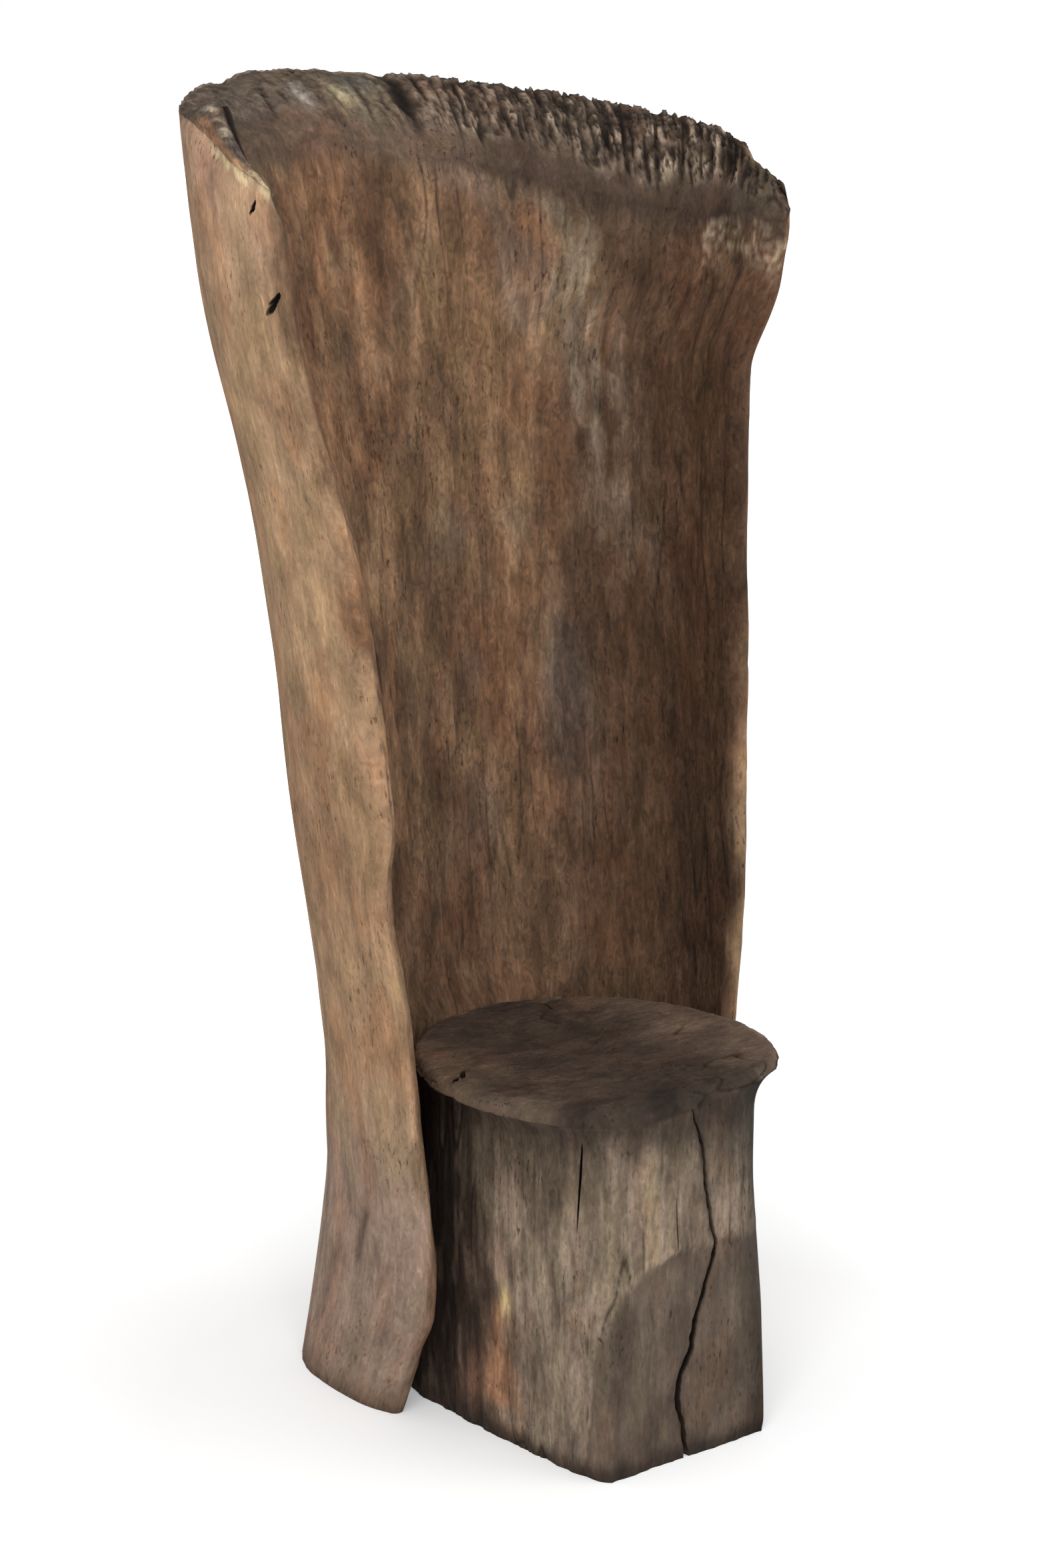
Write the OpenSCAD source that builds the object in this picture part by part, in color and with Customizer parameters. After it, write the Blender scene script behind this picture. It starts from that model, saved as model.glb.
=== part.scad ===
// Tree trunk chair: a hollowed log for the back, a seat stump inside it, and four pegs.
// Millimetres. Z is up, the sitter faces -Y, and the origin is on the floor under the seat.

/* [Heights] */
// Height of the seat above the floor
seat_height = 430; // [380:1:480]
// Height at which the left wing begins to flare out
left_flare_height = 1000; // [850:1:1100]
// Height at which the right wing begins to flare out
right_flare_height = 1165; // [1050:1:1200]
// Height of the shoulder, where the flare of both wings eases off
shoulder_height = 1270; // [1230:1:1320]
// Height of the rim at the tip of the left wing
rim_left_height = 1405; // [1350:1:1440]
// Height of the rim at the left wing's shoulder
rim_left_shoulder_height = 1448; // [1420:1:1465]
// Height of the rim at the left rear
rim_left_rear_height = 1464; // [1440:1:1480]
// Height of the crown, the highest point of the rim
rim_crown_height = 1495; // [1460:1:1560]
// Height of the rim at the right rear
rim_right_rear_height = 1443; // [1410:1:1480]
// Height of the rim at the right wing's shoulder
rim_right_shoulder_height = 1414; // [1390:1:1440]
// Height of the rim at the tip of the right wing
rim_right_height = 1370; // [1340:1:1400]
// Depth of the notch between the left rear and the crown
rim_notch_depth = 6; // [0:1:20]
// Height by which the end grain on top of the left wing is domed
left_wing_dome = 8; // [0:1:14]
// Height of the sloping end-grain band at the right rear, from its inner edge to the rim
rim_band_height = 110; // [50:1:130]
// Width of the clefts that split the end grain
cleft_width = 10; // [6:0.5:13]
// Depth of the clefts
cleft_depth = 8; // [4:0.5:12]

/* [Shell plan] */
// Half width of the shell at the floor
foot_half_width = 206; // [190:1:225]
// Reach of the shell to the left at the seat
seat_left_reach = 255; // [240:1:280]
// Reach of the shell to the right at the seat
seat_right_reach = 254; // [240:1:280]
// Reach of the left wing where its flare begins
flare_left_reach = 316; // [290:1:340]
// Reach of the right wing where its flare begins
flare_right_reach = 283; // [265:1:305]
// Reach of the left wing at the shoulder
shoulder_left_reach = 378; // [350:1:400]
// Reach of the right wing at the shoulder
shoulder_right_reach = 328; // [310:1:350]
// Reach of the left wing at the rim
rim_left_reach = 402; // [380:1:430]
// Reach of the right wing at the rim
rim_right_reach = 361; // [340:1:390]
// Reach of the shell's outer back at the floor, where the roots swell
foot_rear = 395; // [350:1:430]
// Height of the roots' shoulder on the shell's outer back
root_height = 236; // [200:1:280]
// Reach of the shell's outer back at the roots' shoulder
root_rear = 335; // [320:1:360]
// Reach of the shell's outer back at the seat
seat_rear = 303; // [285:1:330]
// Reach of the shell's outer back where the left wing's flare begins
middle_rear = 346; // [315:1:380]
// Reach of the shell's outer back at the rim
rim_rear = 398; // [370:1:440]
// Squareness of the shell's outer plan at the foot, 2 being an ellipse
foot_plan_squareness = 3.4; // [2.4:0.1:4]
// Squareness of the shell's outer plan from the seat up
shell_squareness = 2.7; // [2.4:0.1:4]
// Squareness of the hollow inside the shell at the foot
hollow_foot_squareness = 3; // [2.6:0.1:3.4]
// Squareness of the hollow inside the shell from the seat up
hollow_squareness = 2.3; // [2.2:0.1:2.7]

/* [Wings] */
// Setback of the wings' front edges behind the origin at the floor
wing_foot_setback = 133; // [90:1:160]
// Height at which the wings' lower front corners reach their full depth
wing_corner_height = 230; // [150:1:300]
// Setback of the wings' front edges at that height
wing_setback = 45; // [25:1:60]
// Setback of the wings' front edges where the left wing's flare begins
wing_middle_setback = 66; // [50:1:90]
// Setback of the wings' front edges at the rim
wing_rim_setback = 84; // [60:1:120]
// Thickness of the wings at the foot
wing_foot_thickness = 30; // [24:1:40]
// Thickness of the wings at the seat
wing_seat_thickness = 33; // [24:1:38]
// Thickness of the wings where the left wing's flare begins
wing_middle_thickness = 42; // [30:1:54]
// Thickness of the left wing at the rim
rim_left_thickness = 26; // [22:1:44]
// Thickness of the right wing at the rim
rim_right_thickness = 46; // [30:1:60]
// Distance by which the outer wall turns in at the wings' front edges
wing_tuck = 12; // [0:1:20]
// Length over which the outer wall turns in
wing_tuck_length = 90; // [50:1:120]
// Thickness of the back where the left wing's flare begins
back_middle_thickness = 74; // [55:1:95]
// Thickness of the back at the rim
back_rim_thickness = 84; // [60:1:110]

/* [Seat stump] */
// Radius of the round seat
seat_radius = 205; // [195:1:208]
// Height of the rounded seat edge
seat_edge_height = 14; // [8:1:20]
// Extra height worn off the seat's edge at the front left
seat_edge_wear = 12; // [0:1:20]
// Depth by which the seat's front edge is worn back, flush with the stump's front
seat_front_wear = 26; // [0:1:34]
// Depth of the hollow worn into the seat
seat_dish = 5; // [0:1:12]
// Height over which the body flares out to the seat
seat_flare_height = 50; // [30:1:90]
// Reach of the stump's foot to the left
stump_foot_left = 140; // [125:1:148]
// Reach of the stump's foot to the right
stump_foot_right = 122; // [115:1:140]
// Reach of the stump's foot to the front
stump_foot_front = 178; // [165:1:190]
// Height of the stump's waist
stump_waist_height = 300; // [240:1:340]
// Reach of the stump's waist to the left
stump_waist_left = 150; // [135:1:165]
// Reach of the stump's waist to the right
stump_waist_right = 138; // [125:1:155]
// Reach of the stump's waist to the front
stump_waist_front = 171; // [160:1:180]
// Squareness of the hewn foot, 2 being an ellipse
foot_squareness = 8; // [4:0.5:10]
// Squareness of the waist
waist_squareness = 3; // [2:0.1:4]
// Reach of the flat hewn on the lower front of the stump
hewn_reach = 167; // [155:1:178]
// Height of that flat
hewn_height = 250; // [150:1:300]
// Width of the drying crack in the stump's front
crack_width = 8.5; // [3:0.5:10]
// Depth of the drying crack
crack_depth = 60; // [30:1:90]

/* [Joint] */
// Distance of the flat bearing face behind the origin
joint_reach = 212; // [205:1:218]
// Gap left between the two flat bearing faces
joint_gap = 0.3; // [0.2:0.1:0.6]
// Depth of the flat hewn inside the shell to take the stump
shell_flat_depth = 18; // [16:1:24]
// Depth hewn off the back of the stump to make its bearing face
hewn_back_depth = 12; // [6:1:14]
// Diameter of the pegs
peg_diameter = 26; // [18:1:32]
// Gap between each peg and its bore, all round
peg_clearance = 0.2; // [0.1:0.05:0.3]
// Distance between the left and right pegs
peg_spacing = 120; // [90:1:130]
// Height of the lower pegs
lower_peg_height = 110; // [70:1:160]
// Height of the upper pegs
upper_peg_height = 300; // [230:1:330]
// Depth of the peg bores in the stump
peg_bite = 110; // [80:1:140]
// Depth of the peg ends below the shell's outer back
peg_recess = 3; // [1:0.5:8]

/* [Hidden] */

// Places of the rim's named heights, as shares of the way round from the left wing's tip
left_shoulder_place = 0.08;
left_rear_place = 0.18;
notch_place = 0.335;
crown_place = 0.4;
right_rear_place = 0.76;
right_shoulder_place = 0.92;
// Half the notch's width, as a share of the way round
notch_half_width = 0.02;
// Height of the end-grain band on the way round, as [place, share of the whole]. On the left
// wing it is below zero, where the inner edge stands above the outer one up to a deep split.
band_shares = [[0, 0.05], [0.03, 0.1], [left_shoulder_place, -0.06], [0.125, -0.13],
               [0.155, 0.5], [0.3, 0.62], [right_rear_place, 1], [0.9, 0.85], [1, 0.4]];
// How far the band bulges above a straight slope, as a share of its height
band_bulge = 0.16;
// Place where the dome on top of the left wing begins to fade, and the length it fades over
dome_fade_place = 0.12;
dome_fade_length = 0.06;
// Number of clefts in the end grain, and the place of the first and the last
cleft_count = 12;
first_cleft_place = 0.5;
last_cleft_place = 0.93;
// How far the clefts stand out of their even places, and the share by which their sizes vary
cleft_shift = 0.008;
cleft_variation = 0.2;
// Turns in degrees from cleft to cleft that spread these shifts and sizes unevenly
cleft_shift_turn = 137;
cleft_size_turn = 190;
// Height by which the wedges that cut the clefts stand above the end grain
cleft_stand = 6;
// Slope at which the hollow draws back from the bearing face above the seat
hollow_slope = 0.5;
// How suddenly the stump flares out under the seat, and the side on which its edge is worn
seat_flare_power = 3;
worn_side = 235;
// Direction and half width of the worn part of the seat's front edge, in degrees
worn_front = 275;
worn_front_width = 32;

// Number of steps round each wall, up the shell, across the nose of a wing and over the rim
wall_steps = 36;
rise_steps = 26;
nose_steps = 3;
rim_steps = 3;
stump_steps = 56;

function mix(a, b, t) = a + (b - a) * t;
function ramp(t) = let (u = max(0, min(1, t))) u * u * (3 - 2 * u);
function spow(v, p) = sign(v) * pow(abs(v), p);

// Slope of a smooth curve at one of its stations, each station being [place, value]
function slope(s, i) =
    let (a = max(0, i - 1), b = min(len(s) - 1, i + 1))
    (s[b][1] - s[a][1]) / (s[b][0] - s[a][0]);

function span(s, x, i = 0) = (i >= len(s) - 2 || x < s[i + 1][0]) ? i : span(s, x, i + 1);

// Smooth curve through the stations, held level beyond both ends
function along(s, place) =
    let (x = max(s[0][0], min(s[len(s) - 1][0], place)),
         i = span(s, x),
         h = s[i + 1][0] - s[i][0],
         t = (x - s[i][0]) / h)
    s[i][1] * (1 + 2 * t) * (1 - t) * (1 - t) + slope(s, i) * h * t * (1 - t) * (1 - t)
    + s[i + 1][1] * t * t * (3 - 2 * t) - slope(s, i + 1) * h * t * t * (1 - t);

// The shell: u runs round its wall, from 0 at the left wing's tip to 1 at the right wing's
function rim_height(u) =
    along([[0, rim_left_height], [left_shoulder_place, rim_left_shoulder_height],
           [left_rear_place, rim_left_rear_height], [crown_place, rim_crown_height],
           [right_rear_place, rim_right_rear_height],
           [right_shoulder_place, rim_right_shoulder_height], [1, rim_right_height]], u)
    - rim_notch_depth * exp(-pow((u - notch_place) / notch_half_width, 2));
function inner_rim_height(u) = rim_height(u) - rim_band_height * along(band_shares, u);
// Height by which the end grain is domed at u, on the left wing alone
function dome(u) = left_wing_dome * (1 - ramp((u - dome_fade_place) / dome_fade_length));

function half_width(z, left) =
    along([[0, foot_half_width],
           [seat_height, left ? seat_left_reach : seat_right_reach],
           [left ? left_flare_height : right_flare_height,
            left ? flare_left_reach : flare_right_reach],
           [shoulder_height, left ? shoulder_left_reach : shoulder_right_reach],
           [rim_crown_height, left ? rim_left_reach : rim_right_reach]], z);
function rear(z) =
    along([[0, foot_rear], [root_height, root_rear],
           [seat_height, seat_rear], [left_flare_height, middle_rear],
           [rim_crown_height, rim_rear]], z);
function setback(z) =
    z < wing_corner_height
    ? mix(wing_foot_setback, wing_setback, sin(90 * z / wing_corner_height))
    : along([[wing_corner_height, wing_setback], [left_flare_height, wing_middle_setback],
             [rim_crown_height, wing_rim_setback]], z);
function wing_thickness(z, left) =
    along([[0, wing_foot_thickness], [seat_height, wing_seat_thickness],
           [left_flare_height, wing_middle_thickness],
           [rim_crown_height, left ? rim_left_thickness : rim_right_thickness]], z);
function inner_rear(z) =
    along([[0, joint_reach + shell_flat_depth], [seat_height, joint_reach + shell_flat_depth],
           [left_flare_height, middle_rear - back_middle_thickness],
           [rim_crown_height, rim_rear - back_rim_thickness]], z);
function joint_plane(z) = joint_reach + max(0, z - seat_height) * hollow_slope;
function outer_squareness(z) = along([[0, foot_plan_squareness],
                                      [seat_height, shell_squareness]], z);
function inner_squareness(z) = along([[0, hollow_foot_squareness],
                                      [seat_height, hollow_squareness]], z);

// A point of the shell's plan: a half superellipse from tip to tip round the rear
function plan(u, side, front, back, power) =
    let (a = 180 - 180 * u)
    [side * spow(cos(a), 2 / power), front + (back - front) * spow(sin(a), 2 / power)];

// How far the outer wall turns in at depth y, near the wings' front edges
function tuck(y, z) = wing_tuck * pow(max(0, 1 - (y - setback(z)) / wing_tuck_length), 2);
function outer_point(u, z) =
    let (p = plan(u, half_width(z, u < 0.5), setback(z), rear(z), outer_squareness(z)))
    [p[0] - sign(p[0]) * tuck(p[1], z), p[1], z];
function inner_point(u, z) =
    let (p = plan(u, half_width(z, u < 0.5) - wing_thickness(z, u < 0.5), setback(z),
                  inner_rear(z), inner_squareness(z)))
    [p[0], min(p[1], joint_plane(z)), z];
// The rounded front edge of a wing, from its outer wall at t = 0 to its inner wall at t = 1
function nose_point(u, v, t) =
    let (a = outer_point(u, v * rim_height(u)), b = inner_point(u, v * inner_rim_height(u)),
         m = mix(a, b, (1 - cos(180 * t)) / 2))
    [m[0], m[1] - 0.5 * abs(a[0] - b[0]) * sin(180 * t), m[2]];
// The sloping end grain of the rim, from the outer wall at t = 0 to the inner wall at t = 1
function rim_point(u, t) =
    let (a = outer_point(u, rim_height(u)), b = inner_point(u, inner_rim_height(u)),
         m = mix(a, b, t))
    [m[0], m[1], m[2] + (band_bulge * (a[2] - b[2]) + dome(u)) * sin(180 * t)];

// One ring of the shell's wall at the share v of its height, clockwise seen from above
function shell_ring(v) = concat(
    [for (i = [0 : wall_steps]) outer_point(i / wall_steps, v * rim_height(i / wall_steps))],
    [for (k = [1 : nose_steps]) nose_point(1, v, k / (nose_steps + 1))],
    [for (i = [wall_steps : -1 : 0]) inner_point(i / wall_steps,
                                                 v * inner_rim_height(i / wall_steps))],
    [for (k = [nose_steps : -1 : 1]) nose_point(0, v, k / (nose_steps + 1))]);

module shell_solid() {
    ring = 2 * (wall_steps + 1) + 2 * nose_steps;
    far = wall_steps + nose_steps + 1;
    points = [for (j = [0 : rise_steps]) each shell_ring(j / rise_steps)];
    walls = [for (j = [0 : rise_steps - 1], i = [0 : ring - 1])
        let (a = j * ring + i, b = j * ring + (i + 1) % ring)
        each [[a, b + ring, b], [a, a + ring, b + ring]]];
    // Across the wall, outer column i faces inner column 2 * wall_steps + nose_steps + 1 - i
    function facing(i) = far + wall_steps - i;
    foot = concat(
        [for (i = [0 : wall_steps - 1]) each [[i, i + 1, facing(i + 1)],
                                              [i, facing(i + 1), facing(i)]]],
        [[for (k = [0 : nose_steps + 1]) wall_steps + k]],
        [[for (k = [0 : nose_steps + 1]) (facing(0) + k) % ring]]);
    top = rise_steps * ring;
    inside = [for (i = [0 : wall_steps], k = [1 : rim_steps - 1]) rim_point(i / wall_steps,
                                                                           k / rim_steps)];
    first = len(points);
    function across(i, k) =
        k == 0 ? top + i : k == rim_steps ? top + facing(i)
                                          : first + i * (rim_steps - 1) + k - 1;
    rim = [for (i = [0 : wall_steps - 1], k = [0 : rim_steps - 1])
        each [[across(i, k), across(i + 1, k + 1), across(i + 1, k)],
              [across(i, k), across(i, k + 1), across(i + 1, k + 1)]]];
    tips = [[for (k = [nose_steps : -1 : 1]) top + wall_steps + k,
             for (k = [0 : rim_steps]) across(wall_steps, k)],
            [for (k = [nose_steps : -1 : 1]) top + facing(0) + k,
             for (k = [rim_steps : -1 : 0]) across(0, k)]];
    polyhedron(concat(points, inside), concat(walls, foot, rim, tips), convexity = 6);
}

// A round peg bore along Y, from the bite in the stump to well behind the shell
module peg_bores(extra) {
    for (x = [-peg_spacing / 2, peg_spacing / 2], z = [lower_peg_height, upper_peg_height])
        translate([x, joint_reach - peg_bite, z])
            rotate([-90, 0, 0])
                cylinder(d = peg_diameter + 2 * peg_clearance, h = peg_bite + extra, $fn = 48);
}

// The clefts: wedges that follow the rim from its outer edge to its inner one
function cleft_place(i) =
    mix(first_cleft_place, last_cleft_place, i / (cleft_count - 1))
    + cleft_shift * sin(cleft_shift_turn * i);
function cleft_size(i) = 1 - cleft_variation * (1 - cos(cleft_size_turn * i));
function unit(v) = v / norm(v);
module rim_cleft(u, size) {
    deep = cleft_depth * size;
    over = rim_point(u, 1) - rim_point(u, 0);
    way = unit(rim_point(u + cleft_shift, 0.5) - rim_point(u - cleft_shift, 0.5));
    normal = unit(cross(over, way));
    up = normal[2] < 0 ? -normal : normal;
    // Half the wedge's width at its upper side, so that it is cleft_width at the end grain
    half = cleft_width * size / 2 * (deep + cleft_stand) / deep;
    // The wedge's section at the place t across the rim, which runs past both edges
    function section(t) =
        let (s = max(0, min(1, t)), p = rim_point(u, s) + (t - s) * over)
        [p - up * deep, p + up * cleft_stand - way * half, p + up * cleft_stand + way * half];
    faces = [[0, 1, 2], [5, 4, 3], [0, 3, 4, 1], [1, 4, 5, 2], [2, 5, 3, 0]];
    for (t = [[-0.1, 0.5], [0.5, 1.1]])
        hull()
            polyhedron(concat(section(t[0]), section(t[1])), faces);
}

module trunk_shell() {
    color([0.42, 0.32, 0.24])
        difference() {
            shell_solid();
            peg_bores(foot_rear);
            for (i = [0 : cleft_count - 1])
                rim_cleft(cleft_place(i), cleft_size(i));
        }
}

// The stump: a polar superellipse whose reach differs to the left, right, front and rear
function reach(a, left, right, front, back, power) =
    let (x = cos(a) < 0 ? left : right, y = sin(a) < 0 ? front : back)
    pow(pow(abs(cos(a)) / x, power) + pow(abs(sin(a)) / y, power), -1 / power);
function body_reach(a, z) =
    let (t = ramp(z / stump_waist_height))
    reach(a, mix(stump_foot_left, stump_waist_left, t),
          mix(stump_foot_right, stump_waist_right, t),
          mix(stump_foot_front, stump_waist_front, t),
          joint_reach + hewn_back_depth, mix(foot_squareness, waist_squareness, t));
function seat_reach(a) =
    reach(a, seat_radius, seat_radius, seat_radius, joint_reach + hewn_back_depth, 2)
    - seat_front_wear * exp(-pow((a - worn_front) / worn_front_width, 2));
// Height of the rounded edge at angle a, more where it is worn away at the front left
function edge_height(a) = seat_edge_height + seat_edge_wear * pow(max(0, cos(a - worn_side)), 2);
function body_top(a) = seat_height - edge_height(a);
function stump_reach(a, z) =
    let (t = (z - body_top(a) + seat_flare_height) / seat_flare_height)
    mix(body_reach(a, z), seat_reach(a), pow(max(0, min(1, t)), seat_flare_power));
// Front limit at height z: the hewn flat, and nothing above it
function hewn_front(z) = z < hewn_height ? -hewn_reach : -2 * seat_radius;
function stump_point(a, z) =
    let (r = stump_reach(a, z))
    [r * cos(a), max(hewn_front(z), min(r * sin(a), joint_reach - joint_gap)), z];
function edge_point(a, t) =
    let (e = edge_height(a), r = stump_reach(a, body_top(a)) - e * (1 - cos(90 * t)))
    [r * cos(a), min(r * sin(a), joint_reach - joint_gap), seat_height - e * (1 - sin(90 * t))];
function top_point(a, t) =
    let (p = edge_point(a, 1))
    [p[0] * t, p[1] * t, seat_height - seat_dish * (1 - t * t)];

module stump_solid() {
    body_rows = 16;
    turn = 360 / stump_steps;
    rings = concat(
        [for (j = [0 : body_rows]) [for (i = [0 : stump_steps - 1])
            stump_point(i * turn, body_top(i * turn) * sin(90 * j / body_rows))]],
        [for (t = [0.33, 0.67, 1]) [for (i = [0 : stump_steps - 1]) edge_point(i * turn, t)]],
        [for (t = [0.75, 0.45]) [for (i = [0 : stump_steps - 1]) top_point(i * turn, t)]]);
    last = len(rings) - 1;
    points = [for (r = rings) each r];
    walls = [for (j = [0 : last - 1], i = [0 : stump_steps - 1])
        let (a = j * stump_steps + i, b = j * stump_steps + (i + 1) % stump_steps)
        each [[a, b, b + stump_steps], [a, b + stump_steps, a + stump_steps]]];
    centre = len(points);
    seat = [for (i = [0 : stump_steps - 1])
        [last * stump_steps + i, last * stump_steps + (i + 1) % stump_steps, centre]];
    foot = [for (i = [0 : stump_steps - 1]) [(i + 1) % stump_steps, i, centre + 1]];
    middles = [[0, 0, seat_height - seat_dish], [0, 0, 0]];
    polyhedron(concat(points, middles), concat(walls, seat, foot), convexity = 4);
}

// The drying crack's middle line: distance to the right, and share of the seat's height
crack_line = [[-17, 0.955], [-2, 0.87], [8, 0.74], [15, 0.63], [24, 0.555], [15, 0.48],
              [0, 0.38], [-9, 0.3], [-23, 0.23], [-25, 0.17], [-16, 0.07], [-8, -0.02]];
module drying_crack() {
    last = len(crack_line) - 1;
    // Half the crack's width at point i, widest at two thirds of the way down
    function gape(i) = crack_width / 2 * (0.12 + 0.88 * pow(sin(180 * pow(i / last, 1.6)), 2))
        + (i == last ? crack_width / 4 : 0);
    function edge(i, side) = [crack_line[i][0] + side * gape(i), crack_line[i][1] * seat_height];
    translate([0, crack_depth - hewn_reach, 0])
        rotate([90, 0, 0])
            linear_extrude(height = crack_depth + seat_radius)
                polygon([for (i = [0 : last]) edge(i, -1), for (i = [last : -1 : 0]) edge(i, 1)]);
}

module seat_stump() {
    color([0.38, 0.32, 0.27])
        difference() {
            stump_solid();
            peg_bores(0);
            drying_crack();
        }
}

// Depth of the shell's outer back at x, beside the middle
function back_at(x, z) =
    let (front = setback(z), power = outer_squareness(z))
    front + (rear(z) - front) * pow(1 - pow(abs(x) / half_width(z, x < 0), power), 1 / power);
module peg(x, z) {
    back = back_at(x, z) - peg_recess;
    color([0.55, 0.42, 0.28])
        translate([x, joint_reach - peg_bite, z])
            rotate([-90, 0, 0])
                cylinder(d = peg_diameter, h = back - joint_reach + peg_bite, $fn = 48);
}

module peg_upper_left() {
    peg(-peg_spacing / 2, upper_peg_height);
}
module peg_upper_right() {
    peg(peg_spacing / 2, upper_peg_height);
}
module peg_lower_left() {
    peg(-peg_spacing / 2, lower_peg_height);
}
module peg_lower_right() {
    peg(peg_spacing / 2, lower_peg_height);
}

trunk_shell();
seat_stump();
peg_upper_left();
peg_upper_right();
peg_lower_left();
peg_lower_right();
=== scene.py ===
"""Looks of the tree trunk chair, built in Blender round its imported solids.

Forms are worked out in millimetres, with the same section curves as the part's source, and
written to the meshes in metres. Z is up, the sitter faces -Y, and the origin is on the floor
under the middle of the round seat.
"""

import logging
import math
from dataclasses import dataclass, field
from enum import Enum, IntEnum
from typing import Iterable, Sequence

import bmesh
import bpy
import numpy as np
from mathutils import Matrix, Vector, kdtree
from mathutils.bvhtree import BVHTree


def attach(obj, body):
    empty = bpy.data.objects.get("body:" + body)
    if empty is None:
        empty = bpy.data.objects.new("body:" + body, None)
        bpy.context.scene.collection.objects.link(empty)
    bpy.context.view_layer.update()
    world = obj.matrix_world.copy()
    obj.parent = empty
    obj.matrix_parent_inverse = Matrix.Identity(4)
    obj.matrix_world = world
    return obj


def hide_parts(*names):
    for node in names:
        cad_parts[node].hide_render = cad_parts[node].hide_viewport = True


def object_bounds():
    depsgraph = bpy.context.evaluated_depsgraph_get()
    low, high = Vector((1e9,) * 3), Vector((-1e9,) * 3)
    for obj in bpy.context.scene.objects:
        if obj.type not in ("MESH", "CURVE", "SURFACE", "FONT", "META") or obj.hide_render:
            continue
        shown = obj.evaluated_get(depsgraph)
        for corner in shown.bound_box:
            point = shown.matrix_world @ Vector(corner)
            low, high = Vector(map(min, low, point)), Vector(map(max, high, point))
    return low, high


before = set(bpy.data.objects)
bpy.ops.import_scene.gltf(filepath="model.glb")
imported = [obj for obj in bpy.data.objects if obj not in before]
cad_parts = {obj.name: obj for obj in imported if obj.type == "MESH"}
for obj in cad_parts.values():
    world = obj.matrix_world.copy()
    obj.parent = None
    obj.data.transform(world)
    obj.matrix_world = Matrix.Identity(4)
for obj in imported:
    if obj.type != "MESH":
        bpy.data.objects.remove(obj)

LOG = logging.getLogger("tree_trunk_chair")
CAD_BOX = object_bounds()
MM = 0.001
LIFT = 0.2

Array = np.ndarray
Colour = tuple[float, float, float]
Rgba = tuple[float, float, float, float]
Place = tuple[float, float, float]
Pair = tuple[float, float]
Stations = Sequence[Pair]
Coats = dict[str, tuple[Colour, Array]]
Shades = dict[str, tuple[float, Array]]
Piece = bpy.types.Object
Shape = bmesh.types.BMesh
Socket = bpy.types.NodeSocket
Inputs = dict[str | int, object]


def linear(colour: Colour) -> Array:
    """Turns a colour written as 0 to 255 screen values into linear light."""
    value = np.asarray(colour, float) / 255.0
    return np.where(value <= 0.04045, value / 12.92, ((value + 0.055) / 1.055) ** 2.4)


def rgba(colour: Colour) -> Rgba:
    """Gives a node socket's value for a colour written as 0 to 255 screen values."""
    red, green, blue = linear(colour)
    return (float(red), float(green), float(blue), 1.0)


def mix(a: Array, b: Array, t: Array) -> Array:
    """Blends from a at 0 to b at 1."""
    return a + (b - a) * t


def ramp(low: float | Array, high: float, value: Array) -> Array:
    """Rises smoothly from 0 at low to 1 at high, or falls where high is the lesser."""
    t = np.clip((np.asarray(value, float) - low) / (high - low), 0.0, 1.0)
    return t * t * (3.0 - 2.0 * t)


def spow(value: Array, power: Array) -> Array:
    """Raises a value to a power and keeps its sign."""
    return np.sign(value) * np.abs(value) ** power


def bell(value: Array, centre: float | Array, width: float | Array) -> Array:
    """A smooth bump of height 1 about a centre."""
    return np.exp(-(((np.asarray(value, float) - centre) / width) ** 2))


def boxed(points: Array) -> Array:
    """Keeps points in millimetres inside the solids' box."""
    return np.clip(points, np.array(CAD_BOX[0]) / MM, np.array(CAD_BOX[1]) / MM)


def along(stations: Stations, place: Array) -> Array:
    """Follows a smooth curve through stations, held level beyond both ends.

    Args:
        stations: Pairs of place and value, in rising order of place.
        place: Where the curve is read.

    Returns:
        The curve's values.
    """
    xs = np.array([s[0] for s in stations], float)
    ys = np.array([s[1] for s in stations], float)
    order = np.arange(len(xs))
    before, after = np.maximum(order - 1, 0), np.minimum(order + 1, len(xs) - 1)
    slopes = (ys[after] - ys[before]) / (xs[after] - xs[before])
    x = np.clip(np.asarray(place, float), xs[0], xs[-1])
    i = np.clip(np.searchsorted(xs, x, side="right") - 1, 0, len(xs) - 2)
    h = xs[i + 1] - xs[i]
    t = (x - xs[i]) / h
    s = 1.0 - t
    return (
        ys[i] * (1 + 2 * t) * s * s
        + slopes[i] * h * t * s * s
        + ys[i + 1] * t * t * (3 - 2 * t)
        - slopes[i + 1] * h * t * t * s
    )


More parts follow.
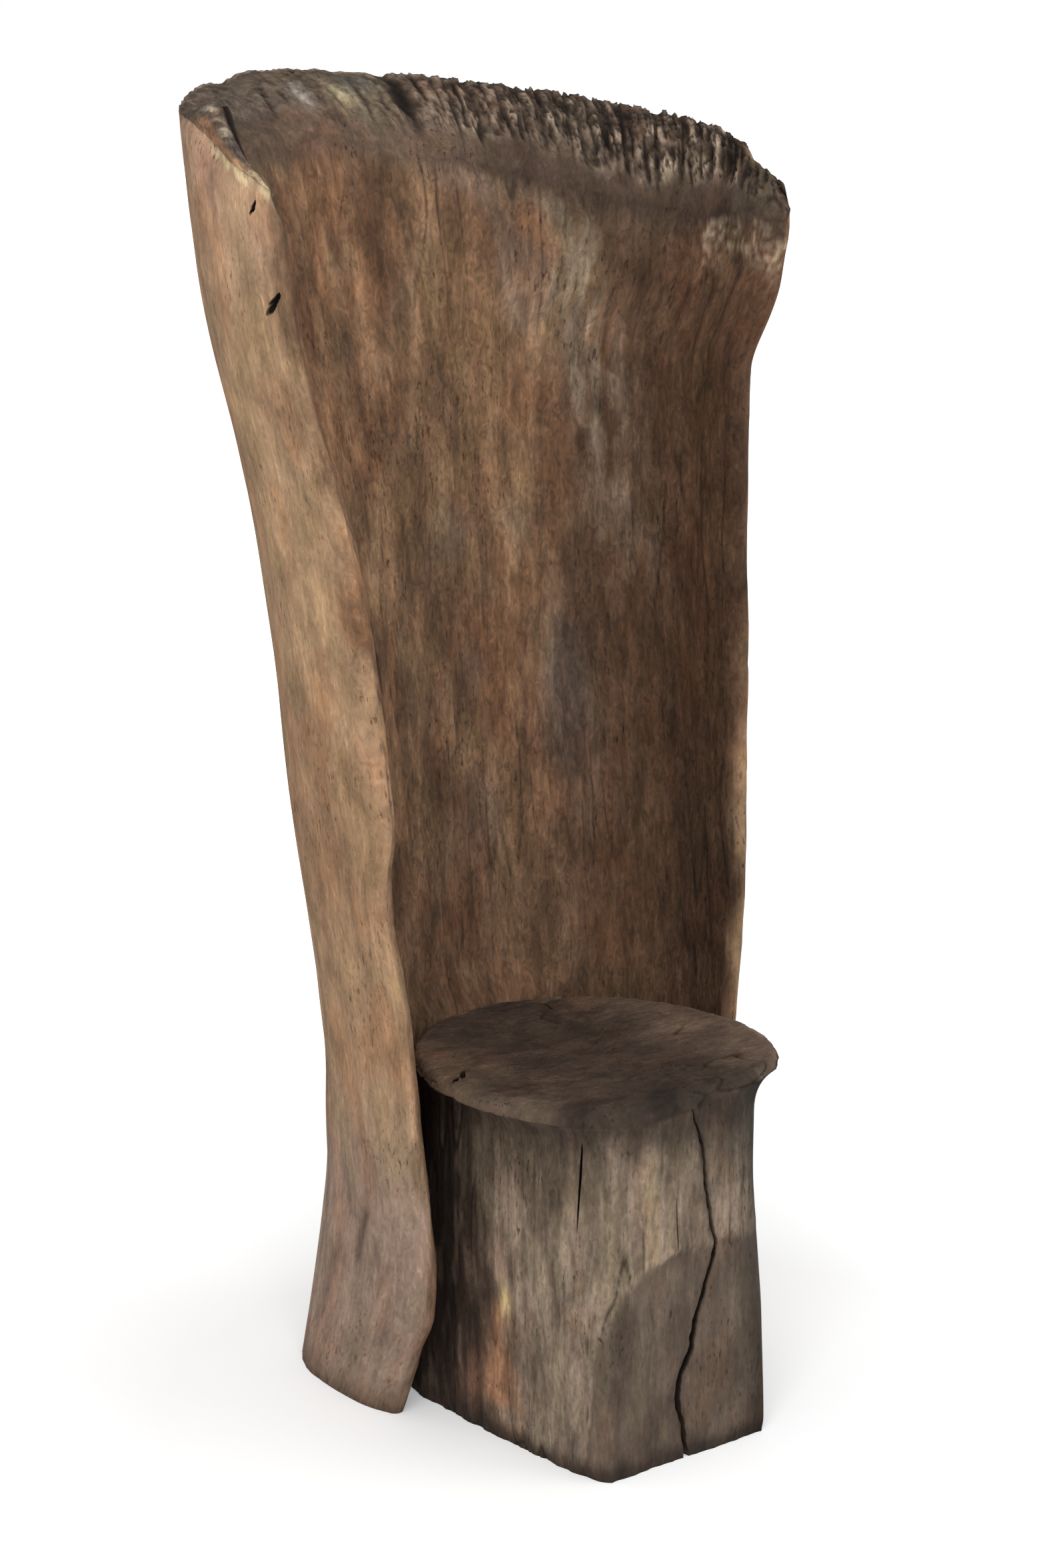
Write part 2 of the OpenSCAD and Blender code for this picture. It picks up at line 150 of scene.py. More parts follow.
class SmoothNoise:
    """Seeded gradient noise that is the same on every run."""

    def __init__(self, seed: int) -> None:
        """Draws the table of slopes.

        Args:
            seed: Number that the draws start from.
        """
        rng = np.random.default_rng(seed)
        self.order = rng.permutation(256)
        slopes = rng.normal(size=(256, 3))
        self.slopes = slopes / np.linalg.norm(slopes, axis=1)[:, None]
        self.shift = rng.uniform(0, 50, size=3)

    def at(self, points: Array, size: Place) -> Array:
        """Reads the noise.

        Args:
            points: Places, with x, y and z on the last axis.
            size: Length of one wave along each axis.

        Returns:
            Values of about -1 to 1.
        """
        p = points / np.array(size, float) + self.shift
        cell = np.floor(p).astype(int)
        f = p - cell
        w = f * f * f * (f * (f * 6 - 15) + 10)
        total = np.zeros(points.shape[:-1])
        for corner in np.ndindex(2, 2, 2):
            c = (cell + corner) & 255
            first = (self.order[c[..., 0]] + c[..., 1]) & 255
            index = self.order[(self.order[first] + c[..., 2]) & 255]
            weight = np.prod(np.where(np.array(corner) == 1, w, 1 - w), axis=-1)
            total += weight * np.sum(self.slopes[index] * (f - np.array(corner)), axis=-1)
        return total * 1.6

    def line(self, place: Array, size: float) -> Array:
        """Reads the noise along a line.

        Args:
            place: Distances along the line.
            size: Length of one wave.

        Returns:
            Values of about -1 to 1.
        """
        place = np.asarray(place, float)
        nothing = np.zeros_like(place)
        return self.at(np.stack([place, nothing, nothing], axis=-1), (size, 1.0, 1.0))

    def cracks(self, points: Array, size: Place, width: float) -> Array:
        """Thin lines where the noise crosses zero: 1 in the middle of a line, 0 off it."""
        return np.clip(1.0 - np.abs(self.at(points, size)) / width, 0.0, 1.0)


SHELL_NOISE = [SmoothNoise(100 + i) for i in range(14)]
STUMP_NOISE = [SmoothNoise(300 + i) for i in range(14)]
EDGE_NOISE = SmoothNoise(41)
HOLLOW_NOISE = SmoothNoise(57)


@dataclass(frozen=True)
class Wave:
    """One size of unevenness in the wood, in millimetres."""

    noise: SmoothNoise
    height: float
    size: Place

    def at(self, place: Array) -> Array:
        """Its height at places in the log."""
        return self.height * self.noise.at(place, self.size)

    def scoops(self, place: Array) -> Array:
        """Shallow scoops with sharp ridges between them, as a tool leaves them."""
        return -self.height * np.abs(self.noise.at(place, self.size))


def unit(vectors: Array) -> Array:
    """Scales vectors to a length of 1, and leaves those of no length as they are."""
    return vectors / np.maximum(np.linalg.norm(vectors, axis=-1, keepdims=True), 1e-9)


def grid_normals(points: Array, closed_rows: bool) -> Array:
    """Outward normals of a grid of points, from the differences between neighbours.

    Args:
        points: Rows by columns by three.
        closed_rows: True for the shell, whose last row follows on to its first and whose
            columns run clockwise; False for the stump, whose columns run the other way.

    Returns:
        Unit normals.
    """
    over = np.gradient(points, axis=1)
    if closed_rows:
        return unit(np.cross(np.roll(points, -1, axis=0) - np.roll(points, 1, axis=0), over))
    return unit(np.cross(over, np.gradient(points, axis=0)))


def write_values(mesh: bpy.types.Mesh, name: str, values: Array) -> None:
    """Stores a vector on each of a mesh's points."""
    flat = np.ascontiguousarray(values, np.float32).ravel()
    mesh.attributes.new(name, "FLOAT_VECTOR", "POINT").data.foreach_set("vector", flat)


def read_values(mesh: bpy.types.Mesh, name: str) -> Array:
    """Reads the vector that each of a mesh's points carries.

    Args:
        mesh: The mesh.
        name: The attribute's name.

    Returns:
        Points by three.
    """
    flat = np.empty(len(mesh.vertices) * 3, np.float32)
    mesh.attributes[name].data.foreach_get("vector", flat)
    return flat.reshape(-1, 3)


def lay_grid(points: Array) -> tuple[Shape, Array, Array]:
    """Shapes a flat grid, welds its seams, closes its ends and turns it outward.

    Args:
        points: Rows by columns by three, in millimetres.

    Returns:
        The mesh, and the row and the column that each of its points came from.
    """
    rows, columns = points.shape[:2]
    bm = bmesh.new()
    bmesh.ops.create_grid(bm, x_segments=columns - 1, y_segments=rows - 1, size=1.0)
    start = np.array([v.co[:2] for v in bm.verts])
    column = np.rint((start[:, 0] + 1) / 2 * (columns - 1)).astype(int)
    row = np.rint((start[:, 1] + 1) / 2 * (rows - 1)).astype(int)
    order = bm.verts.layers.int.new("order")
    for i, (vert, place) in enumerate(zip(bm.verts, points[row, column] * MM)):
        vert.co = place
        vert[order] = i
    bmesh.ops.remove_doubles(bm, verts=bm.verts, dist=2e-5)
    bmesh.ops.dissolve_degenerate(bm, edges=bm.edges, dist=1e-6)
    open_edges = [e for e in bm.edges if e.is_boundary]
    if open_edges:
        bmesh.ops.holes_fill(bm, edges=open_edges, sides=0)
    bmesh.ops.recalc_face_normals(bm, faces=bm.faces)
    if bm.calc_volume(signed=True) < 0:
        bmesh.ops.reverse_faces(bm, faces=bm.faces)
    kept = np.array([v[order] for v in bm.verts])
    bm.verts.layers.int.remove(order)
    return bm, row[kept], column[kept]


@dataclass
class Skin:
    """A grid of points with what the finish needs to know at each one.

    The finish holds three shares: how deep in a crack the point is, which paints shade into the crack, how
    much of its wood is end grain, and how strong the streaks of its grain are.
    """

    points: Array
    log_place: Array
    tone: Array
    finish: Array

    def mesh(self, name: str) -> Piece:
        """Makes the piece and stores its finish values.

        Args:
            name: The piece's name.

        Returns:
            The piece.
        """
        bm, row, column = lay_grid(self.points)
        piece = finished(name, bm)
        write_values(piece.data, "log_place", self.log_place[row, column] * MM)
        write_values(piece.data, "wood_tone", self.tone[row, column])
        write_values(piece.data, "finish", self.finish[row, column])
        return piece


def finished(name: str, bm: Shape) -> Piece:
    """Turns a bmesh into a smooth piece at the origin.

    Args:
        name: The piece's name.
        bm: Its shape, which is freed.

    Returns:
        The piece.
    """
    for face in bm.faces:
        face.smooth = True
    mesh = bpy.data.meshes.new(name)
    bm.to_mesh(mesh)
    bm.free()
    piece = bpy.data.objects.new(name, mesh)
    bpy.context.scene.collection.objects.link(piece)
    return piece


def lay_colours(ground: Colour, coats: Coats) -> Array:
    """Lays colours over a ground, one after another.

    Args:
        ground: The colour below them all.
        coats: Each coat's colour and its share at each point.

    Returns:
        The tones, in linear light.
    """
    tone = linear(ground)
    for colour, share in coats.values():
        tone = mix(tone, linear(colour), np.clip(share, 0.0, 1.0)[..., None])
    return tone


def lay_shades(tone: Array, shades: Shades) -> Array:
    """Makes tones darker or lighter, one shade after another.

    Args:
        tone: The tones.
        shades: Each shade's factor and its share at each point.

    Returns:
        The shaded tones.
    """
    for factor, share in shades.values():
        tone = tone * mix(1.0, factor, np.clip(share, 0.0, 1.0))[..., None]
    return tone


@dataclass(frozen=True)
class Hollow:
    """A small hole or crack with an uneven wall; places and sizes in millimetres."""

    centre: Place
    reach: Place
    half_width: float
    depth: float
    facing: Place
    unevenness: float = 0.3
    wave_size: Place = (1.1, 1.1, 0.45)

    def cut_into(self, bm: Shape) -> None:
        """Adds the hollow to the shapes that are cut out of a piece.

        Args:
            bm: Those shapes.
        """
        length = Vector(self.reach)
        across = length.cross(Vector(self.facing)).normalized()
        inward = across.cross(length).normalized()
        turn = Matrix((across * self.half_width, inward * self.depth, length)).transposed()
        place = Matrix.Translation(Vector(self.centre) * MM) @ (turn * MM).to_4x4()
        ball = bmesh.ops.create_icosphere(bm, subdivisions=3, radius=1.0)["verts"]
        for vert in ball:
            bulge = HOLLOW_NOISE.at(np.array(vert.co) + np.array(self.centre), self.wave_size)
            vert.co = place @ (vert.co * (1.0 + self.unevenness * float(bulge)))


def carve(piece: Piece, cutter: Shape) -> None:
    """Cuts closed shapes out of a piece and carries its finish values over.

    Points on a cut wall take the values of the nearest old point and darken with their depth, which paints
    shade into the cut.

    Args:
        piece: The piece, which keeps its name and gets the cut mesh.
        cutter: Closed shapes that don't touch each other.
    """
    new_if_beyond, dark_from, dark_at, sharp_angle = 1e-5, 0.0004, 0.003, 0.7
    bmesh.ops.recalc_face_normals(cutter, faces=cutter.faces)
    helper = finished("cutter", cutter)
    old = piece.data
    surface = BVHTree.FromObject(piece, bpy.context.evaluated_depsgraph_get())
    tree = kdtree.KDTree(len(old.vertices))
    for i, vert in enumerate(old.vertices):
        tree.insert(vert.co, i)
    tree.balance()
    cut = piece.modifiers.new("cut", "BOOLEAN")
    cut.operation, cut.solver, cut.object = "DIFFERENCE", "MANIFOLD", helper
    graph = bpy.context.evaluated_depsgraph_get()
    mesh = bpy.data.meshes.new_from_object(piece.evaluated_get(graph))
    found = [tree.find(vert.co) for vert in mesh.vertices]
    nearest = np.array([hit[1] for hit in found])
    new = np.flatnonzero(np.array([hit[2] for hit in found]) > new_if_beyond)
    values = {name: read_values(old, name)[nearest] for name in ("log_place", "wood_tone", "finish")}
    for i in new:
        depth = surface.find_nearest(mesh.vertices[i].co)[3]
        # painted shade: the deeper a cut point lies, the more of the dark crack colour it takes
        values["finish"][i, 0] = max(values["finish"][i, 0], float(ramp(dark_from, dark_at, depth)))
    for name, value in values.items():
        if name in mesh.attributes:
            mesh.attributes.remove(mesh.attributes[name])
        write_values(mesh, name, value)
    bm = bmesh.new()
    bm.from_mesh(mesh)
    bm.verts.ensure_lookup_table()
    for i in new:
        for edge in bm.verts[i].link_edges:
            edge.smooth = edge.calc_face_angle(0.0) < sharp_angle
    bm.to_mesh(mesh)
    bm.free()
    piece.modifiers.clear()
    piece.data = mesh
    mesh.name = piece.name
    bpy.data.objects.remove(helper)


@dataclass
class Joint:
    """The flat bearing faces and the hidden pegs, in millimetres."""

    reach: float = 212.0
    gap: float = 0.3
    peg_diameter: float = 26.0
    peg_clearance: float = 0.2
    peg_bite: float = 110.0
    peg_recess: float = 3.0
    peg_edge: float = 1.5
    peg_sides: int = 48
    sides: dict[str, float] = field(default_factory=lambda: {"left": -60.0, "right": 60.0})
    heights: dict[str, float] = field(default_factory=lambda: {"upper": 300.0, "lower": 110.0})
    cleared: Pair = (34.0, 18.0)

    def places(self) -> dict[str, Pair]:
        """X and z of every peg, by its name."""
        pairs = ((h, s) for h in self.heights for s in self.sides)
        return {f"{h}_{s}": (self.sides[s], self.heights[h]) for h, s in pairs}

    def bores(self, bm: Shape, end: float) -> None:
        """Adds the four round bores, the left ones first, from the bite in the stump to a y behind it."""
        for at in sorted(self.places().values(), key=lambda at: at[0]):
            self.rod(bm, at, self.peg_diameter / 2 + self.peg_clearance, end)

    def rod(self, bm: Shape, at: Pair, radius: float, end: float) -> None:
        """Adds one round rod along Y, from the bite in the stump.

        Args:
            bm: The shapes that it is added to.
            at: Its x and z.
            radius: Its radius.
            end: The y that it ends at.
        """
        start = self.reach - self.peg_bite
        place = Matrix.Translation(Vector((at[0], (start + end) / 2, at[1])) * MM)
        bmesh.ops.create_cone(
            bm,
            cap_ends=True,
            segments=self.peg_sides,
            radius1=radius * MM,
            radius2=radius * MM,
            depth=(end - start) * MM,
            matrix=place @ Matrix.Rotation(math.pi / 2, 4, "X"),
        )

    def near_bore(self, points: Array) -> Array:
        """Share by which the shell's outer back is kept even round the pegs.

        Args:
            points: Places on the shell.

        Returns:
            1 at the pegs' axes, fading to 0 beside them and in front of the joint.
        """
        share = np.zeros(points.shape[:-1])
        for x, z in self.places().values():
            gap = np.hypot(points[..., 0] - x, points[..., 2] - z)
            share = np.maximum(share, ramp(*self.cleared, gap))
        return share * (points[..., 1] > self.reach + 5.0)

    def peg(self, name: str, at: Pair, back: float) -> Piece:
        """Makes a whittled peg that ends a little below the shell's outer back.

        Args:
            name: Its name.
            at: Its x and z.
            back: The y of the shell's outer back there.

        Returns:
            The peg.
        """
        bm = bmesh.new()
        self.rod(bm, at, self.peg_diameter / 2, back - self.peg_recess)
        ends = [face for face in bm.faces if len(face.verts) > 4]
        bmesh.ops.bevel(
            bm,
            geom=[edge for face in ends for edge in face.edges],
            offset=self.peg_edge * MM,
            segments=2,
            profile=0.5,
            affect="EDGES",
            material=-1,
        )
        return finished(name, bm)


@dataclass(frozen=True)
class Split:
    """A split across the rim's end grain.

    Its ends are given as shares of the way round and across; width and depth in millimetres.
    """

    start: Pair
    end: Pair
    width: float
    depth: float
    dark: float = 0.9

    def strength(self, arc: Array, deep: Array, length: float, breadth: Array) -> Array:
        """1 in the middle of the split, fading to 0 at its sides and past its ends.

        Args:
            arc: Distance round the rim.
            deep: Distance across it.
            length: The rim's whole length.
            breadth: The whole distance across the rim at each point.

        Returns:
            The shares.
        """
        first = (self.start[0] * length, self.start[1])
        run = (self.end[0] * length - first[0], self.end[1] - first[1])
        share = (deep / breadth - first[1]) / run[1]
        held = np.clip(share, 0.0, 1.0)
        aside = arc - first[0] - run[0] * held
        beyond = (share - held) * run[1] * breadth
        return np.exp(-((aside / self.width) ** 2) - (beyond / (2.0 * self.width)) ** 2)


@dataclass
class WallGrid:
    """The shell's plain form as a closed loop of rows, with what is known of each point.

    Side is 0 outside and 1 inside, u and v the shares of the way round and up, across the place
    over the rim as a share, crown 1 on the broken rim, fading past its edges, and from_edge the
    distance from the rim's edge. Rows holds the number of rows outside, on the rim, inside and
    under the foot, under the foot's shares of the way in, and breadth the rim's own width.
    """

    points: Array
    place: Array
    v: Array
    side: Array
    across: Array
    crown: Array
    from_edge: Array
    u: Array
    rows: tuple[int, int, int, int]
    under: Array
    breadth: Array


@dataclass
class BrokenRim:
    """The end grain's height with and without its rounded edges, and its other looks.

    Cavity is how deep in a crack each point is, and smooth the share of the smoother wood along
    the rim's inner side.
    """

    height: Array
    plain: Array
    cavity: Array
    smooth: Array


@dataclass
class TrunkShell:
    """The hollowed log that makes the back and the wings, in millimetres.

    Stations give a measure by height, save those of the rim and of the band, which give one by
    the share of the way round, from the left wing to the right one.
    """

    joint: Joint = field(default_factory=Joint)
    seat_height: float = 430.0
    left_flare_height: float = 1000.0
    right_flare_height: float = 1165.0
    shoulder_height: float = 1270.0
    crown_height: float = 1495.0
    left_reach: Stations = (
        (0, 206), (seat_height, 255), (left_flare_height, 316), (shoulder_height, 378), (crown_height, 402),
    )
    right_reach: Stations = (
        (0, 206), (seat_height, 254), (right_flare_height, 283), (shoulder_height, 328), (crown_height, 361),
    )
    rear_reach: Stations = (
        (0, 395), (236, 335), (seat_height, 303), (left_flare_height, 346), (crown_height, 398),
    )
    left_wall: Stations = ((0, 30), (seat_height, 33), (left_flare_height, 42), (crown_height, 26))
    right_wall: Stations = ((0, 30), (seat_height, 33), (left_flare_height, 42), (crown_height, 46))
    rear_wall: Stations = ((left_flare_height, 74), (crown_height, 84))
    flat_depth: float = 18.0
    foot_setback: float = 133.0
    setbacks: Stations = ((230, 45), (left_flare_height, 66), (crown_height, 84))
    tuck: Pair = (12.0, 90.0)
    outer_power: Stations = ((0, 3.4), (seat_height, 2.7))
    inner_power: Stations = ((0, 3.0), (seat_height, 2.3))
    rim: Stations = (
        (0.0, 1405.0), (0.08, 1450.0), (0.18, 1469.0), (0.4, 1498.0), (0.58, 1476.0), (0.76, 1450.0),
        (0.92, 1423.0), (1.0, 1379.0),
    )
    notch: tuple[float, float, float] = (0.335, 0.02, 6.0)
    band: Stations = (
        (0.0, 0.05), (0.03, 0.1), (0.08, -0.06), (0.125, -0.13), (0.155, 0.5), (0.3, 0.62),
        (0.76, 1.05), (0.9, 0.93), (1.0, 0.46),
    )
    band_height: float = 110.0
    band_bulge: float = 0.16
    left_wing_dome: float = 8.0
    rim_length: float = 1300.0
    cleft_count: int = 12
    cleft_width: float = 3.6
    cleft_depth: float = 7.0
    streak: Stations = ((880, 196), (1010, 186), (1115, 175), (1227, 171), (1317, 179), (1356, 120))
    knot: Pair = (236.0, 1256.0)
    hollows: tuple[Hollow, ...] = (
        Hollow((-372, 82, 1279), (0, -11, 12), 4.6, 14.0, (-0.8, -0.6, 0), 0.5),
        Hollow((-382, 100, 1376), (-2, -6, 6), 2.6, 8.0, (-0.8, -0.6, 0), 0.5),
        Hollow((-286, 80, 812), (-5, 2, 44), 1.1, 6.0, (-0.5, -0.9, 0)),
    )
    chip: Place = (-350.0, 97.0, 1280.0)
    dent: tuple[Place, Place] = ((-233, 135, 255), (-226, 163, 185))
    bore_end: float = 420.0
    nose_shift: Stations = (
        (0, 9), (60, 10), (95, 11), (140, 1), (500, -2), (525, 0), (560, 9), (615, 17), (660, 12),
        (700, 1), (735, -3), (800, 0), (930, 2), (1000, 8), (1230, 8), (1330, 0),
    )
    tone_shift: Stations = ((860, 0), (950, 20), (1240, 24), (1380, 4))
    broad: tuple[Wave, ...] = (
        Wave(SHELL_NOISE[0], 2.6, (105, 105, 270)),
        Wave(SHELL_NOISE[1], 1.3, (38, 38, 120)),
    )
    furrows: tuple[Wave, ...] = (
        Wave(SHELL_NOISE[2], 0.9, (15, 15, 130)),
        Wave(SHELL_NOISE[3], 0.5, (8, 8, 46)),
    )
    hewn: tuple[Wave, ...] = (
        Wave(SHELL_NOISE[4], 1.7, (30, 30, 62)),
        Wave(SHELL_NOISE[5], 1.0, (13, 13, 30)),
    )
    bark: Wave = Wave(SHELL_NOISE[9], 1.5, (17, 17, 270))
    columns: int = 360
    nose_columns: int = 6
    low_rows: int = 84
    high_rows: int = 28
    rim_rows: int = 32
    foot_rows: int = 3
    place_level: float = 0.62

    def splits(self) -> list[Split]:
        """The rim's splits: the single ones, the clefts that the solid has, and finer ones.

        Returns:
            The splits.
        """
        rng = np.random.default_rng(7)
        made = [
            Split((0.362, 0.34), (0.345, 0.70), 2.6, 5.0, 1.0),
            Split((0.428, 0.12), (0.422, 0.40), 2.2, 4.0),
            Split((0.515, 0.10), (0.518, 0.45), 2.4, 5.0, 1.0),
            Split((0.553, 0.15), (0.556, 0.62), 2.4, 5.0, 1.0),
            Split((0.565, 0.45), (0.573, 0.85), 1.8, 4.0),
            Split((0.295, 0.05), (0.285, 0.50), 1.8, 3.0, 0.6),
            Split((0.927, 0.30), (0.931, 0.56), 5.0, 8.0, 1.0),
        ]
        for i in range(self.cleft_count):
            place = mix(0.5, 0.93, i / (self.cleft_count - 1)) + 0.008 * math.sin(math.radians(137 * i))
            size = 1 - 0.2 * (1 - math.cos(math.radians(190 * i)))
            end = 0.62 + 0.3 * rng.random()
            width, depth = self.cleft_width * size, self.cleft_depth * size
            made.append(Split((place, 0.0), (place + 0.004, end), width, depth, 1.0))
        place = 0.37
        while place < 0.985:
            place += rng.uniform(0.010, 0.021)
            lean = 0.02 * float(ramp(0.5, 0.62, place)) - 0.02 * float(ramp(0.5, 0.4, place))
            start, end = 0.3 * rng.random() ** 2, 0.45 + 0.4 * rng.random()
            size = rng.uniform(0.45, 1.0) * (0.3 + 0.7 * float(ramp(0.48, 0.62, place)))
            last = place + lean * (end - start) + rng.uniform(-0.003, 0.003)
            dark = mix(0.5, 0.95, size)
            made.append(Split((place, start), (last, end), mix(1.9, 3.0, size), 5.5 * size, dark))
        return made

    def rim_height(self, u: Array) -> Array:
        """Height of the rim's outer edge, worn uneven.

        Args:
            u: Share of the way round.

        Returns:
            The heights.
        """
        arc = u * self.rim_length
        worn = 2.4 * np.abs(EDGE_NOISE.line(arc, 38.0)) + 3.0 * np.abs(EDGE_NOISE.line(arc + 71.0, 11.0))
        place, width, depth = self.notch
        return along(self.rim, u) - depth * bell(u, place, width) - worn

    def inner_rim_height(self, u: Array) -> Array:
        """Height of the rim's inner edge.

        Args:
            u: Share of the way round.

        Returns:
            The heights.
        """
        arc = u * self.rim_length + 900.0
        rough = 5.0 * EDGE_NOISE.line(arc, 70.0) + 2.5 * EDGE_NOISE.line(arc + 71.0, 22.0)
        drop = self.band_height * along(self.band, u)
        return self.rim_height(u) - drop + rough * ramp(0.12, 0.25, u)

    def half_width(self, z: Array, left: Array) -> Array:
        """Reach of the outer wall to the side."""
        return np.where(left, along(self.left_reach, z), along(self.right_reach, z))

    def wing_thickness(self, z: Array, left: Array) -> Array:
        """Thickness of the wings."""
        return np.where(left, along(self.left_wall, z), along(self.right_wall, z))

    def setback(self, z: Array) -> Array:
        """Setback of the wings' front edges, less towards the corner above the foot.

        Args:
            z: Heights.

        Returns:
            The setbacks.
        """
        corner, least = self.setbacks[0]
        low = mix(self.foot_setback, least, np.sin(math.pi / 2 * np.clip(z / corner, 0, 1)))
        return np.where(z < corner, low, along(self.setbacks, z))

    def inner_rear(self, z: Array) -> Array:
        """Reach of the hollow to the rear, which is flat behind the stump.

        Args:
            z: Heights.

        Returns:
            The reaches.
        """
        flat = self.joint.reach + self.flat_depth
        above = [(height, float(along(self.rear_reach, height)) - wall) for height, wall in self.rear_wall]
        return along(((0, flat), (self.seat_height, flat), *above), z)

    def plan(self, u: Array, side: Array, front: Array, back: Array, power: Array) -> tuple[Array, Array]:
        """A half superellipse from the left wing's tip round the rear to the right one's.

        Args:
            u: Share of the way round.
            side: Reach to the side.
            front: Setback of its ends.
            back: Reach to the rear.
            power: The superellipse's power, higher for squarer corners.

        Returns:
            X and y.
        """
        angle = math.pi * (1.0 - u)
        x = side * spow(np.cos(angle), 2.0 / power)
        y = front + (back - front) * spow(np.abs(np.sin(angle)), 2.0 / power)
        return x, y

    def outer_point(self, u: Array, z: Array) -> Array:
        """A point of the outer wall.

        Args:
            u: Share of the way round.
            z: Height.

        Returns:
            The points.
        """
        front, power = self.setback(z), along(self.outer_power, z)
        x, y = self.plan(u, self.half_width(z, u < 0.5), front, along(self.rear_reach, z), power)
        inward = self.tuck[0] * np.maximum(0.0, 1.0 - (y - front) / self.tuck[1]) ** 2
        return np.stack([x - np.sign(x) * inward, y, z + 0 * x], axis=-1)

    def inner_point(self, u: Array, z: Array) -> Array:
        """A point of the hollow's wall, which stays flat where the stump bears on it.

        Args:
            u: Share of the way round.
            z: Height.

        Returns:
            The points.
        """
        left = u < 0.5
        side = self.half_width(z, left) - self.wing_thickness(z, left)
        x, y = self.plan(u, side, self.setback(z), self.inner_rear(z), along(self.inner_power, z))
        y = np.minimum(y, self.joint.reach + np.maximum(0.0, z - self.seat_height) * 0.5)
        return np.stack([x, y, z + 0 * x], axis=-1)

    def nose_point(self, u: Array, v: Array, t: Array) -> Array:
        """A point of the wall's rounded front edge and of the walls behind it.

        Args:
            u: Share of the way round.
            v: Share of the way up.
            t: Place on the edge, from the outer wall at 0 to the inner one at 1.

        Returns:
            The points.
        """
        a = self.outer_point(u, v * self.rim_height(u))
        b = self.inner_point(u, v * self.inner_rim_height(u))
        middle = mix(a, b, ((1 - np.cos(math.pi * t)) / 2)[..., None])
        middle[..., 1] -= 0.5 * np.abs(a[..., 0] - b[..., 0]) * np.sin(math.pi * t)
        return middle

    def column_places(self) -> tuple[Array, Array]:
        """Spaces out the grid's columns, closer together in the right half.

        Returns:
            Share of the way round, and place on the front edge, of every column.
        """
        fine = np.linspace(0, 1, 4001)
        path = self.outer_point(fine, np.full_like(fine, 950.0))
        step = np.linalg.norm(np.diff(path, axis=0), axis=1)
        step *= 1 + 0.7 * ramp(0.42, 0.5, fine[1:]) * ramp(0.98, 0.92, fine[1:])
        length = np.concatenate([[0], np.cumsum(step)])
        wall = np.interp(np.linspace(0, length[-1], self.columns + 1), length, fine)
        nose = np.linspace(0.5, 0, self.nose_columns, endpoint=False)
        u = np.concatenate([np.zeros_like(nose), wall, np.ones_like(nose)])
        t = np.concatenate([nose, np.zeros_like(wall), nose[::-1]])
        return u, t

    def grid(self) -> WallGrid:
        """Lays out the plain form: up the outside, over the rim, down the inside and under.

        Returns:
            The grid.
        """
        u, t = self.column_places()
        low = np.linspace(0, 0.85, self.low_rows, endpoint=False)
        uu, vv = np.meshgrid(u, np.concatenate([low, np.linspace(0.85, 1, self.high_rows)]))
        tt = np.broadcast_to(t, uu.shape)
        level = np.full_like(uu, self.place_level)
        outer, inner = self.nose_point(uu, vv, tt), self.nose_point(uu, vv, 1 - tt)
        outer_place, inner_place = self.nose_point(uu, level, tt), self.nose_point(uu, level, 1 - tt)
        outer_place[..., 2], inner_place[..., 2] = outer[..., 2], inner[..., 2]
        over = np.linspace(0, 1, self.rim_rows + 1)[1:-1, None]
        under = np.linspace(1, 0, self.foot_rows + 1)[1:-1, None]
        band = mix(outer[-1][None], inner[-1][None], over[..., None])
        rise = self.band_bulge * (outer[-1, :, 2] - inner[-1, :, 2])
        rise += self.left_wing_dome * (1 - ramp(0.12, 0.18, u))
        band[..., 2] += rise * np.sin(math.pi * over)
        foot = mix(outer[0][None], inner[0][None], under[..., None])
        band_place = mix(outer_place[-1][None], inner_place[-1][None], over[..., None])
        foot_place = mix(outer_place[0][None], inner_place[0][None], under[..., None])
        breadth = 1.0 + np.linalg.norm(np.diff(band, axis=0), axis=-1).sum(axis=0)
        below_outer, below_inner = outer[-1, :, 2] - outer[..., 2], (inner[-1, :, 2] - inner[..., 2])[::-1]
        broken_below = 9.0 + 13.0 * ramp(0.5, 0.36, u)
        wall, rim_row, foot_row = np.zeros_like(uu), np.zeros(band.shape[:2]), np.zeros(foot.shape[:2])
        outer_crown = ramp(14.0, 5.0, below_outer) * ramp(0.1, 0.2, u)
        inner_crown = ramp(broken_below, 1.0, below_inner) * ramp(0.02, 0.1, u)
        parts = {
            "points": [outer, band, inner[::-1], foot],
            "place": [outer_place, band_place, inner_place[::-1], foot_place],
            "v": [vv, rim_row + 1, vv[::-1], foot_row],
            "side": [wall, over + rim_row, wall + 1, under + foot_row],
            "across": [-below_outer / breadth, over + rim_row, 1 + below_inner / breadth, foot_row],
            "crown": [outer_crown, rim_row + 1, inner_crown, foot_row],
            "from_edge": [below_outer, self.from_band_edge(band), below_inner, foot_row + 999],
        }
        made = {key: np.concatenate(value, axis=0) for key, value in parts.items()}
        made["u"] = np.broadcast_to(u, made["v"].shape)
        rows = (len(vv), len(band), len(vv), len(foot))
        return WallGrid(**made, rows=rows, under=under, breadth=breadth)

    def from_band_edge(self, band: Array) -> Array:
        """Distance of the rim's points from its nearer edge.

        Args:
            band: The rim's rows of points.

        Returns:
            The distances.
        """
        step = np.linalg.norm(np.diff(band, axis=0, prepend=band[:1]), axis=-1)
        path = np.cumsum(step, axis=0)
        return np.minimum(path, path[-1] - path) + 3.0

    def from_tip(self, points: Array) -> Array:
        """Distance round the wall from the middle of the nearer wing's front edge.

        Args:
            points: The grid's points.

        Returns:
            The distances.
        """
        step = np.linalg.norm(np.diff(points, axis=1, prepend=points[:, :1]), axis=-1)
        path = np.cumsum(step, axis=1)
        return np.minimum(path, path[:, -1:] - path)

